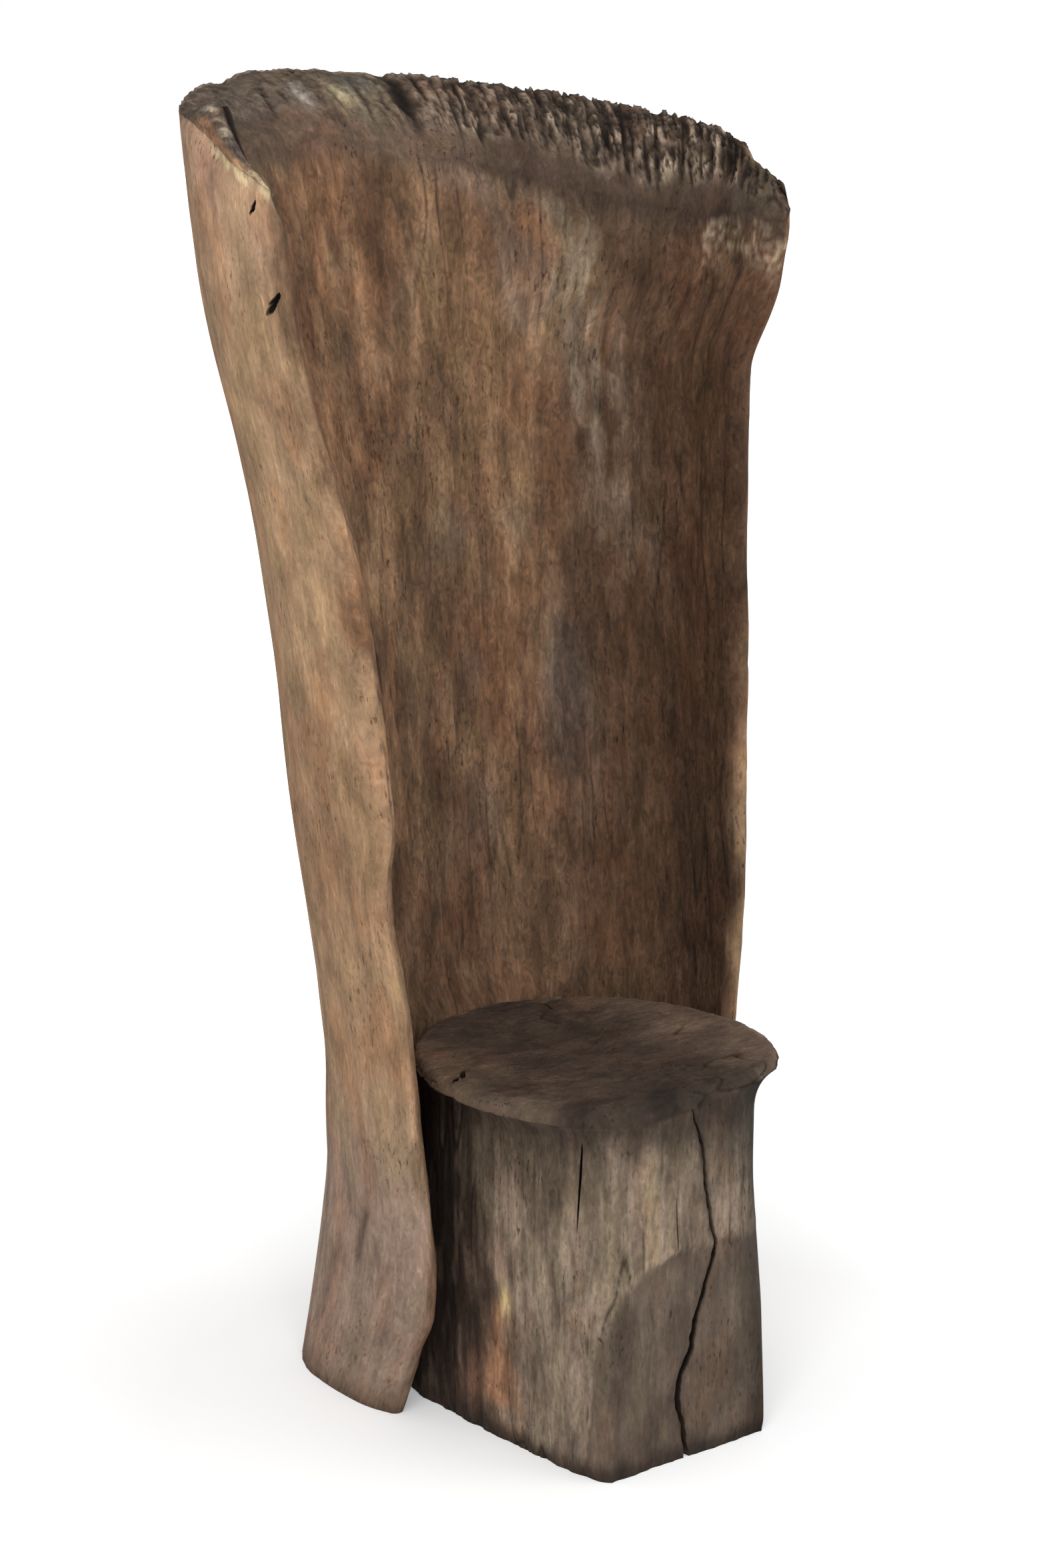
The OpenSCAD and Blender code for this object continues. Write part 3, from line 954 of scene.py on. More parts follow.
    def normals(self, g: WallGrid) -> Array:
        """Outward normals, which turn slantwise near the rim's edges so that these round off.

        Args:
            g: The grid.

        Returns:
            Unit normals.
        """
        made = grid_normals(g.points, True)
        up, band, down, _ = g.rows
        made[0], made[up + band + down - 1] = made[1], made[up + band + down - 2]
        outer_edge = made[up - 4] + made[up + 3]
        inner_edge = made[up + band + 3] + made[up + band - 4]
        slant = unit(np.where(g.side[..., None] < 0.5, outer_edge, inner_edge))
        return unit(mix(made, slant, bell(g.from_edge, 0.0, 16.0)[..., None]))

    def inside(self, g: WallGrid) -> Array:
        """Share of the hollow's look, which sets in softly behind the wings' front edges.

        Args:
            g: The grid.

        Returns:
            The shares.
        """
        signed = self.from_tip(g.points) * (2 * g.side - 1)
        border = 18 * SHELL_NOISE[13].at(g.place, (40, 40, 70))
        border = border + 7 * SHELL_NOISE[2].at(g.place, (14, 14, 24))
        return ramp(-14.0, 36.0, signed + border + along(self.tone_shift, g.points[..., 2]))

    def relief(self, g: WallGrid) -> tuple[Array, Array, Array]:
        """Form of the walls over the plain one.

        Args:
            g: The grid.

        Returns:
            Millimetres along the normal, how deep in a crack each point is, and the part of the height that
            grime, wear and painted shade in the grooves follow.
        """
        place, inside, u, z = g.place, g.side, g.u, g.points[..., 2]
        patch = ramp(-0.1, 0.35, SHELL_NOISE[6].at(place, (110, 110, 240)))
        rear = (1 - inside) * ramp(0.3, 0.42, u)
        split = SHELL_NOISE[7].cracks(place, (24, 24, 190), 0.06) * patch * np.maximum(inside, rear)
        fine = sum(wave.at(place) for wave in self.furrows) * (0.5 + 0.5 * inside)
        fine = fine + inside * sum(wave.scoops(place) for wave in self.hewn) - 1.8 * split
        fine += rear * (self.bark.at(place) - 1.4 * split)
        ends = ramp(1250, 1400, z) + ramp(150, 0, z)
        height = mix(-0.3 - 1.5 * ends, -0.2, inside) + sum(wave.at(place) for wave in self.broad)
        height = height + fine + 1.4 * self.wrinkle(g)
        swell = 5.0 * bell(z, 950, 330) + 4.0 * bell(z, 700, 160) - 4.0 * bell(z, 270, 50)
        height += swell * (1 - inside) * ramp(0.35, 0.2, u)
        height += 2.5 * (1 - inside) * ramp(0.7, 0.85, u) * bell(z, 650, 300)
        height -= 5.0 * np.exp(-((g.from_edge / mix(9.0, 16.0, inside)) ** 2))
        # the split share paints shade into the fine splits
        return height, 0.6 * split, fine

    def wrinkle(self, g: WallGrid) -> Array:
        """Small pale folds in the hollow, under the rim's right end."""
        lines = SHELL_NOISE[6].cracks(g.place, (15, 15, 10), 0.24)
        return g.side * ramp(0.88, 0.91, g.u) * bell(g.points[..., 2], 1300, 28) * lines

    def rim_places(self, g: WallGrid) -> Array:
        """Places on the rim laid flat: distance round it, distance across it and 0."""
        arc = g.u * self.rim_length
        return np.stack([arc, g.across * g.breadth, np.zeros_like(arc)], axis=-1)

    def rim_relief(self, g: WallGrid) -> BrokenRim:
        """Works out the broken end grain, whose ridges run across the rim.

        Args:
            g: The grid.

        Returns:
            The rim's form and looks.
        """
        u, t, where = g.u, g.across, self.rim_places(g)
        wander = where[..., 0] + 4.5 * SHELL_NOISE[8].at(where, (30, 34, 1))
        wander = wander + 2.2 * SHELL_NOISE[9].at(where, (13, 14, 1))
        heavy = 0.25 + 0.75 * ramp(0.44, 0.6, u)
        low, cavity = np.zeros_like(u), np.zeros_like(u)
        broken = 0.35 + 0.65 * ramp(-0.3, 0.15, SHELL_NOISE[10].at(where, (20, 24, 1)))
        for split in self.splits():
            share = split.strength(wander, where[..., 1], self.rim_length, g.breadth) * broken
            low = np.maximum(low, split.depth * (0.75 * share + 0.25 * share**0.25))
            cavity = np.maximum(cavity, split.dark * share)
        rough = ramp(0.86, 0.62, t + 0.14 * SHELL_NOISE[11].at(where, (60, 40, 1)))
        bent = where + 6.0 * SHELL_NOISE[10].at(where + 80, (28, 28, 1))[..., None]
        vein = SHELL_NOISE[4].cracks(bent, (27, 66, 1), 0.2)
        lump = np.abs(SHELL_NOISE[9].at(where + 40, (28, 44, 1)))
        chip = np.abs(SHELL_NOISE[12].at(where, (20, 32, 1)))
        plain = -low * (0.3 + 0.7 * rough) + heavy * rough * (4.0 * lump + 3.0 * chip - 3.8 - 3.6 * vein)
        # painted shade in the valley along the left strip's inner side
        groove = bell(t, 0.9, 0.12) * ramp(0.002, 0.02, u) * ramp(0.145, 0.125, u)
        plain = np.minimum(plain, 1.2) - 4.0 * groove
        # painted shade in the low parts of the broken end grain: its splits, veins and chipped hollows
        cavity = cavity * (0.2 + 0.8 * rough) + heavy * rough * (0.55 * vein + 0.5 * (0.26 - chip))
        return BrokenRim(
            height=plain - 4.5 * np.exp(-((g.from_edge / 10.0) ** 2)),
            plain=plain,
            cavity=np.maximum(np.clip(cavity, 0, 1), 0.85 * groove),
            smooth=1 - rough,
        )

    def tones(self, g: WallGrid, inside: Array) -> Array:
        """The walls' colour before its grain, laid on zone by zone.

        Args:
            g: The grid.
            inside: Share of the hollow's look.

        Returns:
            The tones.
        """
        u, side, place, edge = g.u, g.side, g.place, g.from_edge
        x, z = g.points[..., 0], g.points[..., 2]
        outside = 1 - inside
        cloud = SHELL_NOISE[0].at(place + 500, (80, 80, 150))
        fleck = SHELL_NOISE[1].at(place + 900, (26, 26, 110))
        patch = SHELL_NOISE[12].at(place, (60, 60, 120))
        blotch = SHELL_NOISE[8].at(place, (24, 24, 115))
        bark = self.bark.at(place) / self.bark.height
        rear, left = outside * ramp(0.3, 0.42, u), ramp(0.5, 0.3, u)
        wing = outside * left
        streak = inside * bell(x, along(self.streak, z), 25.0) * ramp(820, 1150, z)
        streak = streak * (0.6 + 0.9 * SHELL_NOISE[3].at(place, (12, 12, 60)))
        pale_edge = (1 - side) * ramp(0.078, 0.055, u) * bell(edge, 4.0, 7.0 + 5 * patch)
        pale_edge = pale_edge * ramp(-0.25, 0.1, SHELL_NOISE[3].at(place, (9, 9, 9)))
        grey_strip = inside * bell(x, 138, 24) * bell(z, 790, 110) * ramp(0.5, 0.55, u)
        # darker wood just below the rim's inner edge, with painted shade under the edge
        dark_band = side * bell(edge, 0.0, 36.0 + 26 * patch) * ramp(0.5, 0.62, u)
        brown_band = side * bell(edge, 0.0, 22.0 + 16 * patch) * ramp(0.6, 0.46, u)
        tone = lay_colours((140, 114, 88), {
            "left wing": ((160, 130, 101), wing),
            "yellower middle": ((170, 138, 106), wing * bell(z, 1000, 190) * (0.5 + 0.9 * cloud)),
            "pinker top": ((176, 144, 120), wing * ramp(1250, 1400, z) * (0.5 + 0.8 * patch)),
            "pink corner": ((190, 150, 126), outside * bell(u, 0.07, 0.035) * bell(edge, 30.0, 26.0) * 0.85),
            "browner knee": ((146, 114, 87), wing * bell(z, 700, 170) * 0.7),
            "greyer foot": ((148, 125, 109), wing * ramp(450, 250, z)),
            "hollow": ((113, 86, 64), inside),
            "light flecks": ((132, 102, 77), inside * ramp(0.05, 0.45, fleck) * 0.75),
            "dark blotches": ((74, 55, 42), inside * ramp(0.12, 0.45, blotch) * 0.5),
            "light blotches": ((146, 118, 92), inside * ramp(0.15, 0.45, -blotch) * 0.4),
            "dark grain behind": ((104, 82, 63), rear * ramp(-0.05, 0.35, bark) * 0.8),
            "light grain behind": ((164, 138, 110), rear * ramp(0.1, 0.4, -bark) * 0.5),
            "brown patches": ((92, 67, 49), inside * ramp(0.05, 0.45, -patch) * 0.7),
            "grey patches": ((104, 88, 76), inside * ramp(0.1, 0.45, -cloud) * ramp(0.44, 0.52, u) * 0.6),
            "right half": ((92, 68, 51), inside * ramp(0.6, 0.8, u) * 0.8),
            "shaded right": ((66, 46, 32), inside * ramp(0.72, 0.9, u) * ramp(1330, 1100, z) * 0.9),
            # painted shade low in the hollow, above the seat
            "above the seat": ((88, 66, 50), inside * ramp(900, 450, z) * 0.75),
            "reddish strip": ((118, 84, 64), inside * bell(u, 0.622, 0.009) * bell(z, 745, 62) * 0.85),
            "grey strip": ((84, 72, 64), grey_strip * 0.8),
            "pale streak": ((138, 120, 102), streak),
            "knot": ((54, 37, 28), inside * bell(np.hypot(x - self.knot[0], z - self.knot[1]), 0, 24) * 0.8),
            "dark below the rim": ((70, 56, 46), dark_band * 0.92),
            "brown below the rim": ((92, 75, 62), brown_band * 0.7),
            "pale worn edge": ((214, 194, 156), pale_edge),
            "wrinkles": ((146, 128, 110), self.wrinkle(g) * 0.85),
            "chip": ((206, 172, 140), bell(np.linalg.norm(g.points - self.chip, axis=-1), 0.0, 11.0)),
            # darker towards the floor
            "darker at the foot": ((92, 70, 52), ramp(50, 0, z) * 0.6),
        })
        tip = bell(self.from_tip(g.points), 0.0, 26.0)
        return lay_shades(tone, {
            "outer wall": (0.86, outside),
            "hollow": (0.92, inside),
            "left tip": (0.80, tip * ramp(1150, 1290, z) * left),
            "left half": (0.88, inside * ramp(0.56, 0.48, u)),
            "behind the left wing": (0.66, inside * bell(u, 0.46, 0.09) * bell(z, 850, 230)),
            "right of the middle": (0.60, inside * bell(u, 0.74, 0.07) * bell(z, 900, 230)),
            "lit right wing": (1.30, inside * bell(u, 0.92, 0.04) * bell(z, 1020, 90)),
            "low right wing": (0.66, inside * ramp(0.85, 0.93, u) * ramp(900, 560, z)),
            "lit middle": (1.14, inside * ramp(0.74, 0.6, u)),
            "dent": (0.40, bell(self.dent_gap(g.points), 0.0, 7.0) * ramp(0.5, 0.4, u) * (1 - side)),
        })

    def dent_gap(self, points: Array) -> Array:
        """Distance from the long soft dent low on the left wing.

        Args:
            points: Places on the shell.

        Returns:
            The distances.
        """
        first, last = (np.array(end, float) for end in self.dent)
        run = last - first
        share = np.clip((points - first) @ run / (run @ run), 0.0, 1.0)
        return np.linalg.norm(points - first - share[..., None] * run, axis=-1)

    def rim_tones(self, g: WallGrid, rim: BrokenRim) -> Array:
        """The end grain's colour, with a painted highlight on its ridges and painted shade between them.

        Args:
            g: The grid.
            rim: The rim's form.

        Returns:
            The tones.
        """
        u, t, height, smooth, where = g.u, g.across, rim.plain, rim.smooth, self.rim_places(g)
        patch = SHELL_NOISE[5].at(where, (44, 40, 1))
        fleck = SHELL_NOISE[3].at(where, (12, 22, 1))
        wisp = ramp(0.1, 0.4, SHELL_NOISE[7].at(where, (90, 5, 1)))
        strip, right = ramp(0.14, 0.12, u), ramp(0.46, 0.6, u)

        def spot(place: float, across: float, size: float) -> Array:
            """A round patch at a place on the rim."""
            aside, beyond = where[..., 0] - place * self.rim_length, where[..., 1] - across * g.breadth
            return bell(np.hypot(aside, beyond) + 9 * fleck, 0.0, size)

        # painted highlight on the ridges' raised tops
        ridges = ramp(-3.4, -0.4, height) * (1 - smooth) * (0.72 + 0.9 * fleck) * right
        lip = ramp(0.07, 0.02, t) * ramp(0.16, 0.22, u) * ramp(0.6, 0.45, u) * (0.3 + 0.9 * fleck)
        # painted shadow line along the rim's inner edge
        inner_edge = bell(g.from_edge, 2.0 + 8 * fleck, 6.0) * (t > 0.5) * mix(0.25, 0.5, right)
        strip_light = strip * bell(t, 0.5, 0.16) * ramp(-0.05, 0.3, fleck) * bell(u, 0.085, 0.04)
        tone = lay_colours((94, 78, 66), {
            "light patches": ((108, 92, 79), ramp(0.0, 0.45, patch) * 0.6),
            "greyer left": ((88, 76, 67), ramp(0.42, 0.34, u) * ramp(0.18, 0.24, u) * 0.8),
            "ridges": ((162, 143, 125), ridges),
            "smooth wood, right": ((68, 54, 45), smooth * right),
            "smooth wood, left": ((88, 72, 59), smooth * (1 - right)),
            "wisps": ((104, 80, 67), smooth * (1 - right) * wisp * 0.7),
            "grey spot": ((148, 138, 129), spot(0.403, 0.5, 15.0)),
            "mossy spot": ((146, 138, 112), spot(0.455, 0.52, 26.0) * (0.7 + 0.9 * fleck)),
            "dull spot": ((76, 76, 70), spot(0.478, 0.24, 22.0) * 0.8),
            "left strip": ((88, 76, 68), strip),
            "left strip's light": ((182, 168, 148), strip_light),
            "left strip's edge": ((146, 112, 86), strip * ramp(0.42, 0.2, t) * ramp(0.12, 0.09, u) * 0.9),
            "right end": ((84, 71, 60), ramp(0.935, 0.955, u) * 0.7),
            "pale spot": ((150, 136, 102), spot(0.972, 0.16, 14.0) * 0.8),
            # painted shade in a pit in the rim
            "dark pit": ((24, 19, 17), spot(0.928, 0.43, 9.0) * 0.95),
            "inner edge": ((50, 38, 31), inner_edge),
            # painted shade in the valley along the left strip's inner side
            "left strip's groove": ((44, 34, 28), strip * bell(t, 0.9, 0.11) * ramp(0.004, 0.02, u) * 0.9),
            "outer lip": ((160, 142, 124), lip),
        })
        # painted shade: the lower the end grain lies, the darker it gets
        tone = tone * (0.48 + 0.68 * ramp(-6.0, 0.2, height))[..., None]
        return lay_shades(tone, {
            "left": (0.84, ramp(0.34, 0.24, u)),
            "right end": (0.8, ramp(0.88, 0.95, u)),
        })

    def raised(self, g: WallGrid, height: Array) -> Array:
        """Moves the plain form's points along their normals.

        Args:
            g: The grid.
            height: Millimetres along the normal.

        Returns:
            The points, kept flat where the stump bears and even round the pegs.
        """
        points, outside = g.points, 1 - g.side
        corner = 8.0 * bell(g.u, 0.055, 0.05) + 6.0 * ramp(0.93, 0.99, g.u)
        height = height - corner * np.exp(-((g.from_edge / 24.0) ** 2)) * outside
        height -= 3.5 * bell(self.dent_gap(points), 0.0, 8.0) * outside
        height = mix(height, -0.5, self.joint.near_bore(points))
        low = points[..., 2] < self.seat_height + 6.0
        seated = g.side * (points[..., 1] > self.joint.reach - 1.0) * low
        return points + self.normals(g) * (height * (1 - seated))[..., None]

    def worn(self, g: WallGrid, shaped: Array) -> Array:
        """Shifts the wings' front edges and slumps their worn tips.

        Args:
            g: The grid.
            shaped: The points, which are changed.

        Returns:
            The same points.
        """
        z, left, away = g.points[..., 2], g.u < 0.5, self.from_tip(g.points)
        right_shift = -1.0 - 9.0 * bell(z, 860, 170) - 8.0 * bell(z, 540, 110) - 9.0 * bell(z, 1330, 90)
        shift = 2.0 * EDGE_NOISE.line(z, 46.0) + np.where(left, along(self.nose_shift, z), right_shift)
        shaped[..., 1] += bell(away, 0.0, 34.0) * np.where(left, 1 - g.v**40, 1.0) * shift
        slump = np.where(left, 13.0 * bell(away, 0.0, 18.0), 21.0 * bell(away, 0.0, 30.0))
        shaped[..., 2] -= slump * bell(g.from_edge, 0.0, 55.0)
        shaped[..., 2] = np.where(g.v == 0, 0.0, np.maximum(shaped[..., 2], LIFT))
        return shaped

    def closed(self, g: WallGrid, shaped: Array) -> Array:
        """Joins the foot and both front edges, and keeps to the solid's box.

        Args:
            g: The grid.
            shaped: The points, which are changed.

        Returns:
            The joined points.
        """
        up, band, down, _ = g.rows
        inner = shaped[up + band : up + band + down]
        shaped[up + band + down :] = mix(shaped[:1], inner[-1:], g.under[..., None])
        for end in (0, -1):
            pair = (shaped[:up, end] + inner[::-1, end]) / 2
            shaped[:up, end] = pair
            inner[:, end] = pair[::-1]
            shaped[up : up + band, end] = pair[-1]
            shaped[up + band + down :, end] = pair[0]
        return boxed(shaped)

    def skin(self) -> Skin:
        """Works the plain form into old wood.

        Returns:
            The finished surface, with its seams closed.
        """
        g = self.grid()
        height, cavity, fine = self.relief(g)
        rim = self.rim_relief(g)
        height, cavity = mix(height, rim.height, g.crown), mix(cavity, rim.cavity, g.crown)
        shaped = self.closed(g, self.worn(g, self.raised(g, height)))
        inside = self.inside(g)
        # grime and painted shade in the grooves: darker where the fine relief lies low
        grime_and_groove_shade = 0.8 + 0.32 * ramp(-3.4, 0.2, fine)
        broken = (g.crown * ramp(0.004, 0.03, g.u))[..., None]
        tone = mix(self.tones(g, inside) * grime_and_groove_shade[..., None], self.rim_tones(g, rim), broken)
        grain = mix(mix(0.55, 1.0, inside), 0.6, g.crown)
        finish = np.stack([cavity, g.crown * (1 - 0.7 * rim.smooth), grain], axis=-1)
        parts = (shaped, g.place, tone, finish)
        return Skin(*(np.concatenate([values, values[:1]], axis=0) for values in parts))

    def back_at(self, at: Pair) -> float:
        """Reach of the outer back at a peg.

        Args:
            at: The peg's x and z.

        Returns:
            The y.
        """
        height, left = np.array([at[1]]), np.array([at[0] < 0])
        front, power = self.setback(height), along(self.outer_power, height)
        share = (1 - (abs(at[0]) / self.half_width(height, left)) ** power) ** (1 / power)
        return float((front + (along(self.rear_reach, height) - front) * share)[0])

    def build(self) -> Piece:
        """Makes the shell's mesh, bores it for the pegs and cuts its small holes and crack.

        Returns:
            The piece.
        """
        piece = self.skin().mesh("hollowed_trunk")
        cutter = bmesh.new()
        self.joint.bores(cutter, self.bore_end)
        for hollow in self.hollows:
            hollow.cut_into(cutter)
        carve(piece, cutter)
        return piece


class Zone(IntEnum):
    """The stump's zones, from the foot up the side and over the edge to the seat."""

    FOOT = 0
    SIDE = 1
    EDGE = 2
    SEAT = 3


@dataclass
class StumpGrid:
    """The stump's plain form, from the middle of the foot to the middle of the seat.

    Zone says what each point is on, angle where it lies round the middle, and under how far out
    each of the foot's rows lies, as a share.
    """

    points: Array
    zone: Array
    angle: Array
    under: Array


@dataclass
class StumpWood:
    """Places in the log, and each point's shares of the side, seat, edge and hewn flat."""

    place: Array
    side: Array
    seat: Array
    lip: Array
    facet: Array


@dataclass
class SeatStump:
    """The stump whose worn top is the seat, in millimetres.

    The body's pairs give a measure at the foot and one at the waist.
    """

    joint: Joint = field(default_factory=Joint)
    seat_height: float = 430.0
    seat_radius: float = 205.0
    body_left: Pair = (140.0, 150.0)
    body_right: Pair = (122.0, 138.0)
    body_front: Pair = (178.0, 171.0)
    squareness: Pair = (6.6, 3.0)
    edge_round: float = 14.0
    edge_wear: float = 12.0
    worn_side: float = 235.0
    front_wear: tuple[float, float, float] = (275.0, 36.0, 31.0)
    dish: float = 5.0
    flare_height: float = 50.0
    waist_height: float = 300.0
    hewn_reach: float = 167.0
    hewn_back: float = 12.0
    crack_line: Stations = (
        (-0.02, -8), (0.07, -16), (0.17, -25), (0.23, -23), (0.3, -9), (0.38, 0), (0.48, 15),
        (0.555, 24), (0.63, 15), (0.74, 8), (0.87, -2), (0.955, -17),
    )
    crack_gape: Stations = (
        (-0.02, 7), (0.1, 8), (0.3, 9.5), (0.48, 8), (0.6, 6), (0.75, 5), (0.9, 3.6), (0.955, 1.5),
    )
    crack_depth: float = 60.0
    crack_rows: int = 131
    bore_end: float = 230.0
    facet_edge: Stations = (
        (-137, 0), (-131, 132), (-118, 172), (-98, 209), (-79, 229), (-33, 244), (60, 246), (140, 234),
    )
    hollows: tuple[Hollow, ...] = (
        Hollow((-32, -168, 276), (-1, 0, 32), 1.3, 8.0, (0, -1, 0)),
        Hollow((-127, -118, 342), (5, 0, 60), 1.5, 9.0, (-0.7, -0.7, 0)),
        Hollow((-168, 34, 428), (10, 12, 0), 3.0, 12.0, (0, 0, 1), 0.5),
        Hollow((-182, 24, 422), (8, 6, 3), 4.0, 12.0, (-0.6, 0, 0.8), 0.5),
        Hollow((64, 172, 426), (-4, -15, 0), 2.2, 5.0, (0, 0, 1), 0.5),
    )
    broad: tuple[Wave, ...] = (
        Wave(STUMP_NOISE[0], 2.2, (80, 80, 160)),
        Wave(STUMP_NOISE[1], 1.0, (30, 30, 90)),
    )
    furrows: tuple[Wave, ...] = (
        Wave(STUMP_NOISE[2], 1.7, (16, 16, 300)),
        Wave(STUMP_NOISE[3], 0.8, (7, 7, 120)),
    )
    wear: tuple[Wave, ...] = (
        Wave(STUMP_NOISE[6], 2.2, (34, 18, 18)),
        Wave(STUMP_NOISE[7], 1.2, (11, 8, 8)),
    )
    edge_chips: Wave = Wave(STUMP_NOISE[11], 2.4, (30, 30, 14))
    foot_chips: Wave = Wave(STUMP_NOISE[7], 3.0, (26, 26, 1e6))
    seat_on_edge: float = 0.84375
    columns: int = 480
    side_rows: int = 104
    edge_rows: int = 12
    top_rows: int = 56
    foot_rows: int = 5

    def reach(self, a: Array, left: Array, right: Array, front: Array, back: float, power: Array) -> Array:
        """Distance from the middle to a polar superellipse.

        Args:
            a: Angles about the middle.
            left: Its reach to the left.
            right: Its reach to the right.
            front: Its reach to the front.
            back: Its reach to the back.
            power: The superellipse's power, higher for squarer corners.

        Returns:
            The distances.
        """
        x = np.where(np.cos(a) < 0, left, right)
        y = np.where(np.sin(a) < 0, front, back)
        return ((np.abs(np.cos(a)) / x) ** power + (np.abs(np.sin(a)) / y) ** power) ** (-1.0 / power)

    def body_reach(self, a: Array, z: Array) -> Array:
        """Reach of the body below the seat's flare.

        Args:
            a: Angles about the middle.
            z: Heights.

        Returns:
            The distances.
        """
        t = ramp(0, self.waist_height, z)
        pairs = (self.body_left, self.body_right, self.body_front, self.squareness)
        left, right, front, power = (mix(*pair, t) for pair in pairs)
        return self.reach(a, left, right, front, self.joint.reach + self.hewn_back, power)

    def seat_reach(self, a: Array) -> Array:
        """Reach of the round seat, worn back at the front.

        Args:
            a: Angles about the middle.

        Returns:
            The distances.
        """
        middle, width, depth = self.front_wear
        r = self.seat_radius
        round_seat = self.reach(a, r, r, r, self.joint.reach + self.hewn_back, 2.0)
        return round_seat - depth * bell(np.degrees(a), middle, width)

    def edge_height(self, a: Array) -> Array:
        """Height of the rounded edge, more where it is worn away."""
        facing = np.cos(a - math.radians(self.worn_side))
        return self.edge_round + self.edge_wear * np.maximum(0, facing) ** 2

    def side_reach(self, a: Array, z: Array) -> Array:
        """Reach of the side, flare included.

        Args:
            a: Angles about the middle.
            z: Heights.

        Returns:
            The distances.
        """
        top = self.seat_height - self.edge_height(a)
        t = np.clip((z - top + self.flare_height) / self.flare_height, 0, 1)
        return mix(self.body_reach(a, z), self.seat_reach(a), t**3)

    def place(self, a: Array, r: Array, z: Array) -> Array:
        """A point at angle a and reach r, kept off the shell's bearing face."""
        y = np.minimum(r * np.sin(a), self.joint.reach - self.joint.gap)
        return np.stack([r * np.cos(a), y, z + 0 * r], axis=-1)

    def grid(self) -> StumpGrid:
        """Lays out the plain form: out under the foot, up the side and in over the seat.

        Returns:
            The grid.
        """
        a = np.linspace(0, 2 * math.pi, self.columns + 1)[None]
        e = self.edge_height(a)
        top = self.seat_height - e
        under = np.linspace(0, 1, self.foot_rows, endpoint=False)[:, None]
        foot = self.place(a, self.side_reach(a, 0 * a), 0 * a) * under[..., None]
        z = np.linspace(0, 1, self.side_rows)[:, None] * top
        side = self.place(a + 0 * z, self.side_reach(a + 0 * z, z), z)
        turn = np.linspace(0, math.pi / 2, self.edge_rows + 1)[1:, None]
        reach = self.side_reach(a, top) - e * (1 - np.cos(turn))
        rim = self.place(a + 0 * turn, reach, self.seat_height - e * (1 - np.sin(turn)))
        inward = np.linspace(1, 0, self.top_rows + 1)[1:, None]
        flat = rim[-1][None] * inward[..., None]
        flat[..., 2] = self.seat_height - self.dish * (1 - inward**2)
        rows = (foot, side, rim, flat)
        zone = np.concatenate([np.full(r.shape[:2], k) for k, r in zip(Zone, rows)], axis=0)
        return StumpGrid(np.concatenate(rows, axis=0), zone, np.broadcast_to(a, zone.shape), under)

    def facet(self, place: Array, points: Array, side: Array) -> Array:
        """Share of the flat hewn on the lower front, below its curved upper edge.

        Args:
            place: Places in the log.
            points: Places on the stump.
            side: 1 on the side, 0 elsewhere.

        Returns:
            The shares.
        """
        x, y, z = points[..., 0], points[..., 1], points[..., 2]
        border = 9.0 * STUMP_NOISE[8].at(place, (40, 40, 60)) + 4.0 * STUMP_NOISE[12].at(place, (11, 11, 14))
        return side * ramp(-112.0, -138.0, y) * ramp(8.0, -6.0, z - along(self.facet_edge, x) - border)

    def wood(self, g: StumpGrid) -> StumpWood:
        """Finds what the wood is at each point; the grain follows the body under the flare.

        Args:
            g: The grid.

        Returns:
            The places and shares.
        """
        z = g.points[..., 2]
        inner = self.body_reach(g.angle, np.minimum(z, self.waist_height))
        shrink = inner / np.maximum(self.side_reach(g.angle, z), 1.0)
        shrink = np.where(g.zone >= Zone.SIDE, shrink, 1.0)
        place = g.points * np.stack([shrink, shrink, np.ones_like(shrink)], axis=-1)
        side, lip = (g.zone == Zone.SIDE).astype(float), (g.zone == Zone.EDGE).astype(float)
        seat = (g.zone == Zone.SEAT) + self.seat_on_edge * lip
        return StumpWood(place, side, seat, lip, self.facet(place, g.points, side))

    def relief(self, g: StumpGrid, wood: StumpWood, points: Array) -> tuple[Array, Array, Array]:
        """Form of the old wood over the hewn one.

        Args:
            g: The grid.
            wood: What the wood is at each point.
            points: The grid's points with the front hewn flat.

        Returns:
            Millimetres along the normal, how deep in a crack each point is, and the part of the height that
            grime, wear and painted shade in the grooves follow.
        """
        place, seat, facet, z = wood.place, wood.seat, wood.facet, points[..., 2]
        patch = ramp(0, 0.3, STUMP_NOISE[5].at(place, (110, 110, 250)))
        check = STUMP_NOISE[4].cracks(place, (28, 28, 240), 0.045) * patch * (1 - seat) * (1 - facet)
        furrow = sum(wave.at(place) for wave in self.furrows)
        fine = furrow * (1 - seat) * (1 - 0.72 * facet) - 2.0 * check
        worn = -sum(wave.scoops(points) for wave in self.wear)
        gashed = ramp(0.1, 0.3, STUMP_NOISE[10].at(points, (90, 90, 90)))
        gash = STUMP_NOISE[9].cracks(points, (80, 34, 34), 0.05) * gashed
        broad = sum(wave.at(place) for wave in self.broad)
        height = -1.2 + broad * (1 - 0.6 * seat) + fine - 0.8 * facet - seat * (worn + 4.0 * gash)
        height += wood.lip * self.edge_chips.scoops(points)
        height -= wood.side * bell(z, 0.0, 9.0) * (2.0 - self.foot_chips.scoops(points))
        bearing = (points[..., 1] > self.joint.reach - 2.0) & (g.zone < Zone.EDGE)
        height = np.where((g.zone == Zone.FOOT) | bearing, 0.0, height)
        # the check and gash shares paint shade into the cracks
        return height, np.maximum(0.7 * check, 0.8 * gash * seat), fine - 0.4 * seat * (worn - 0.9)

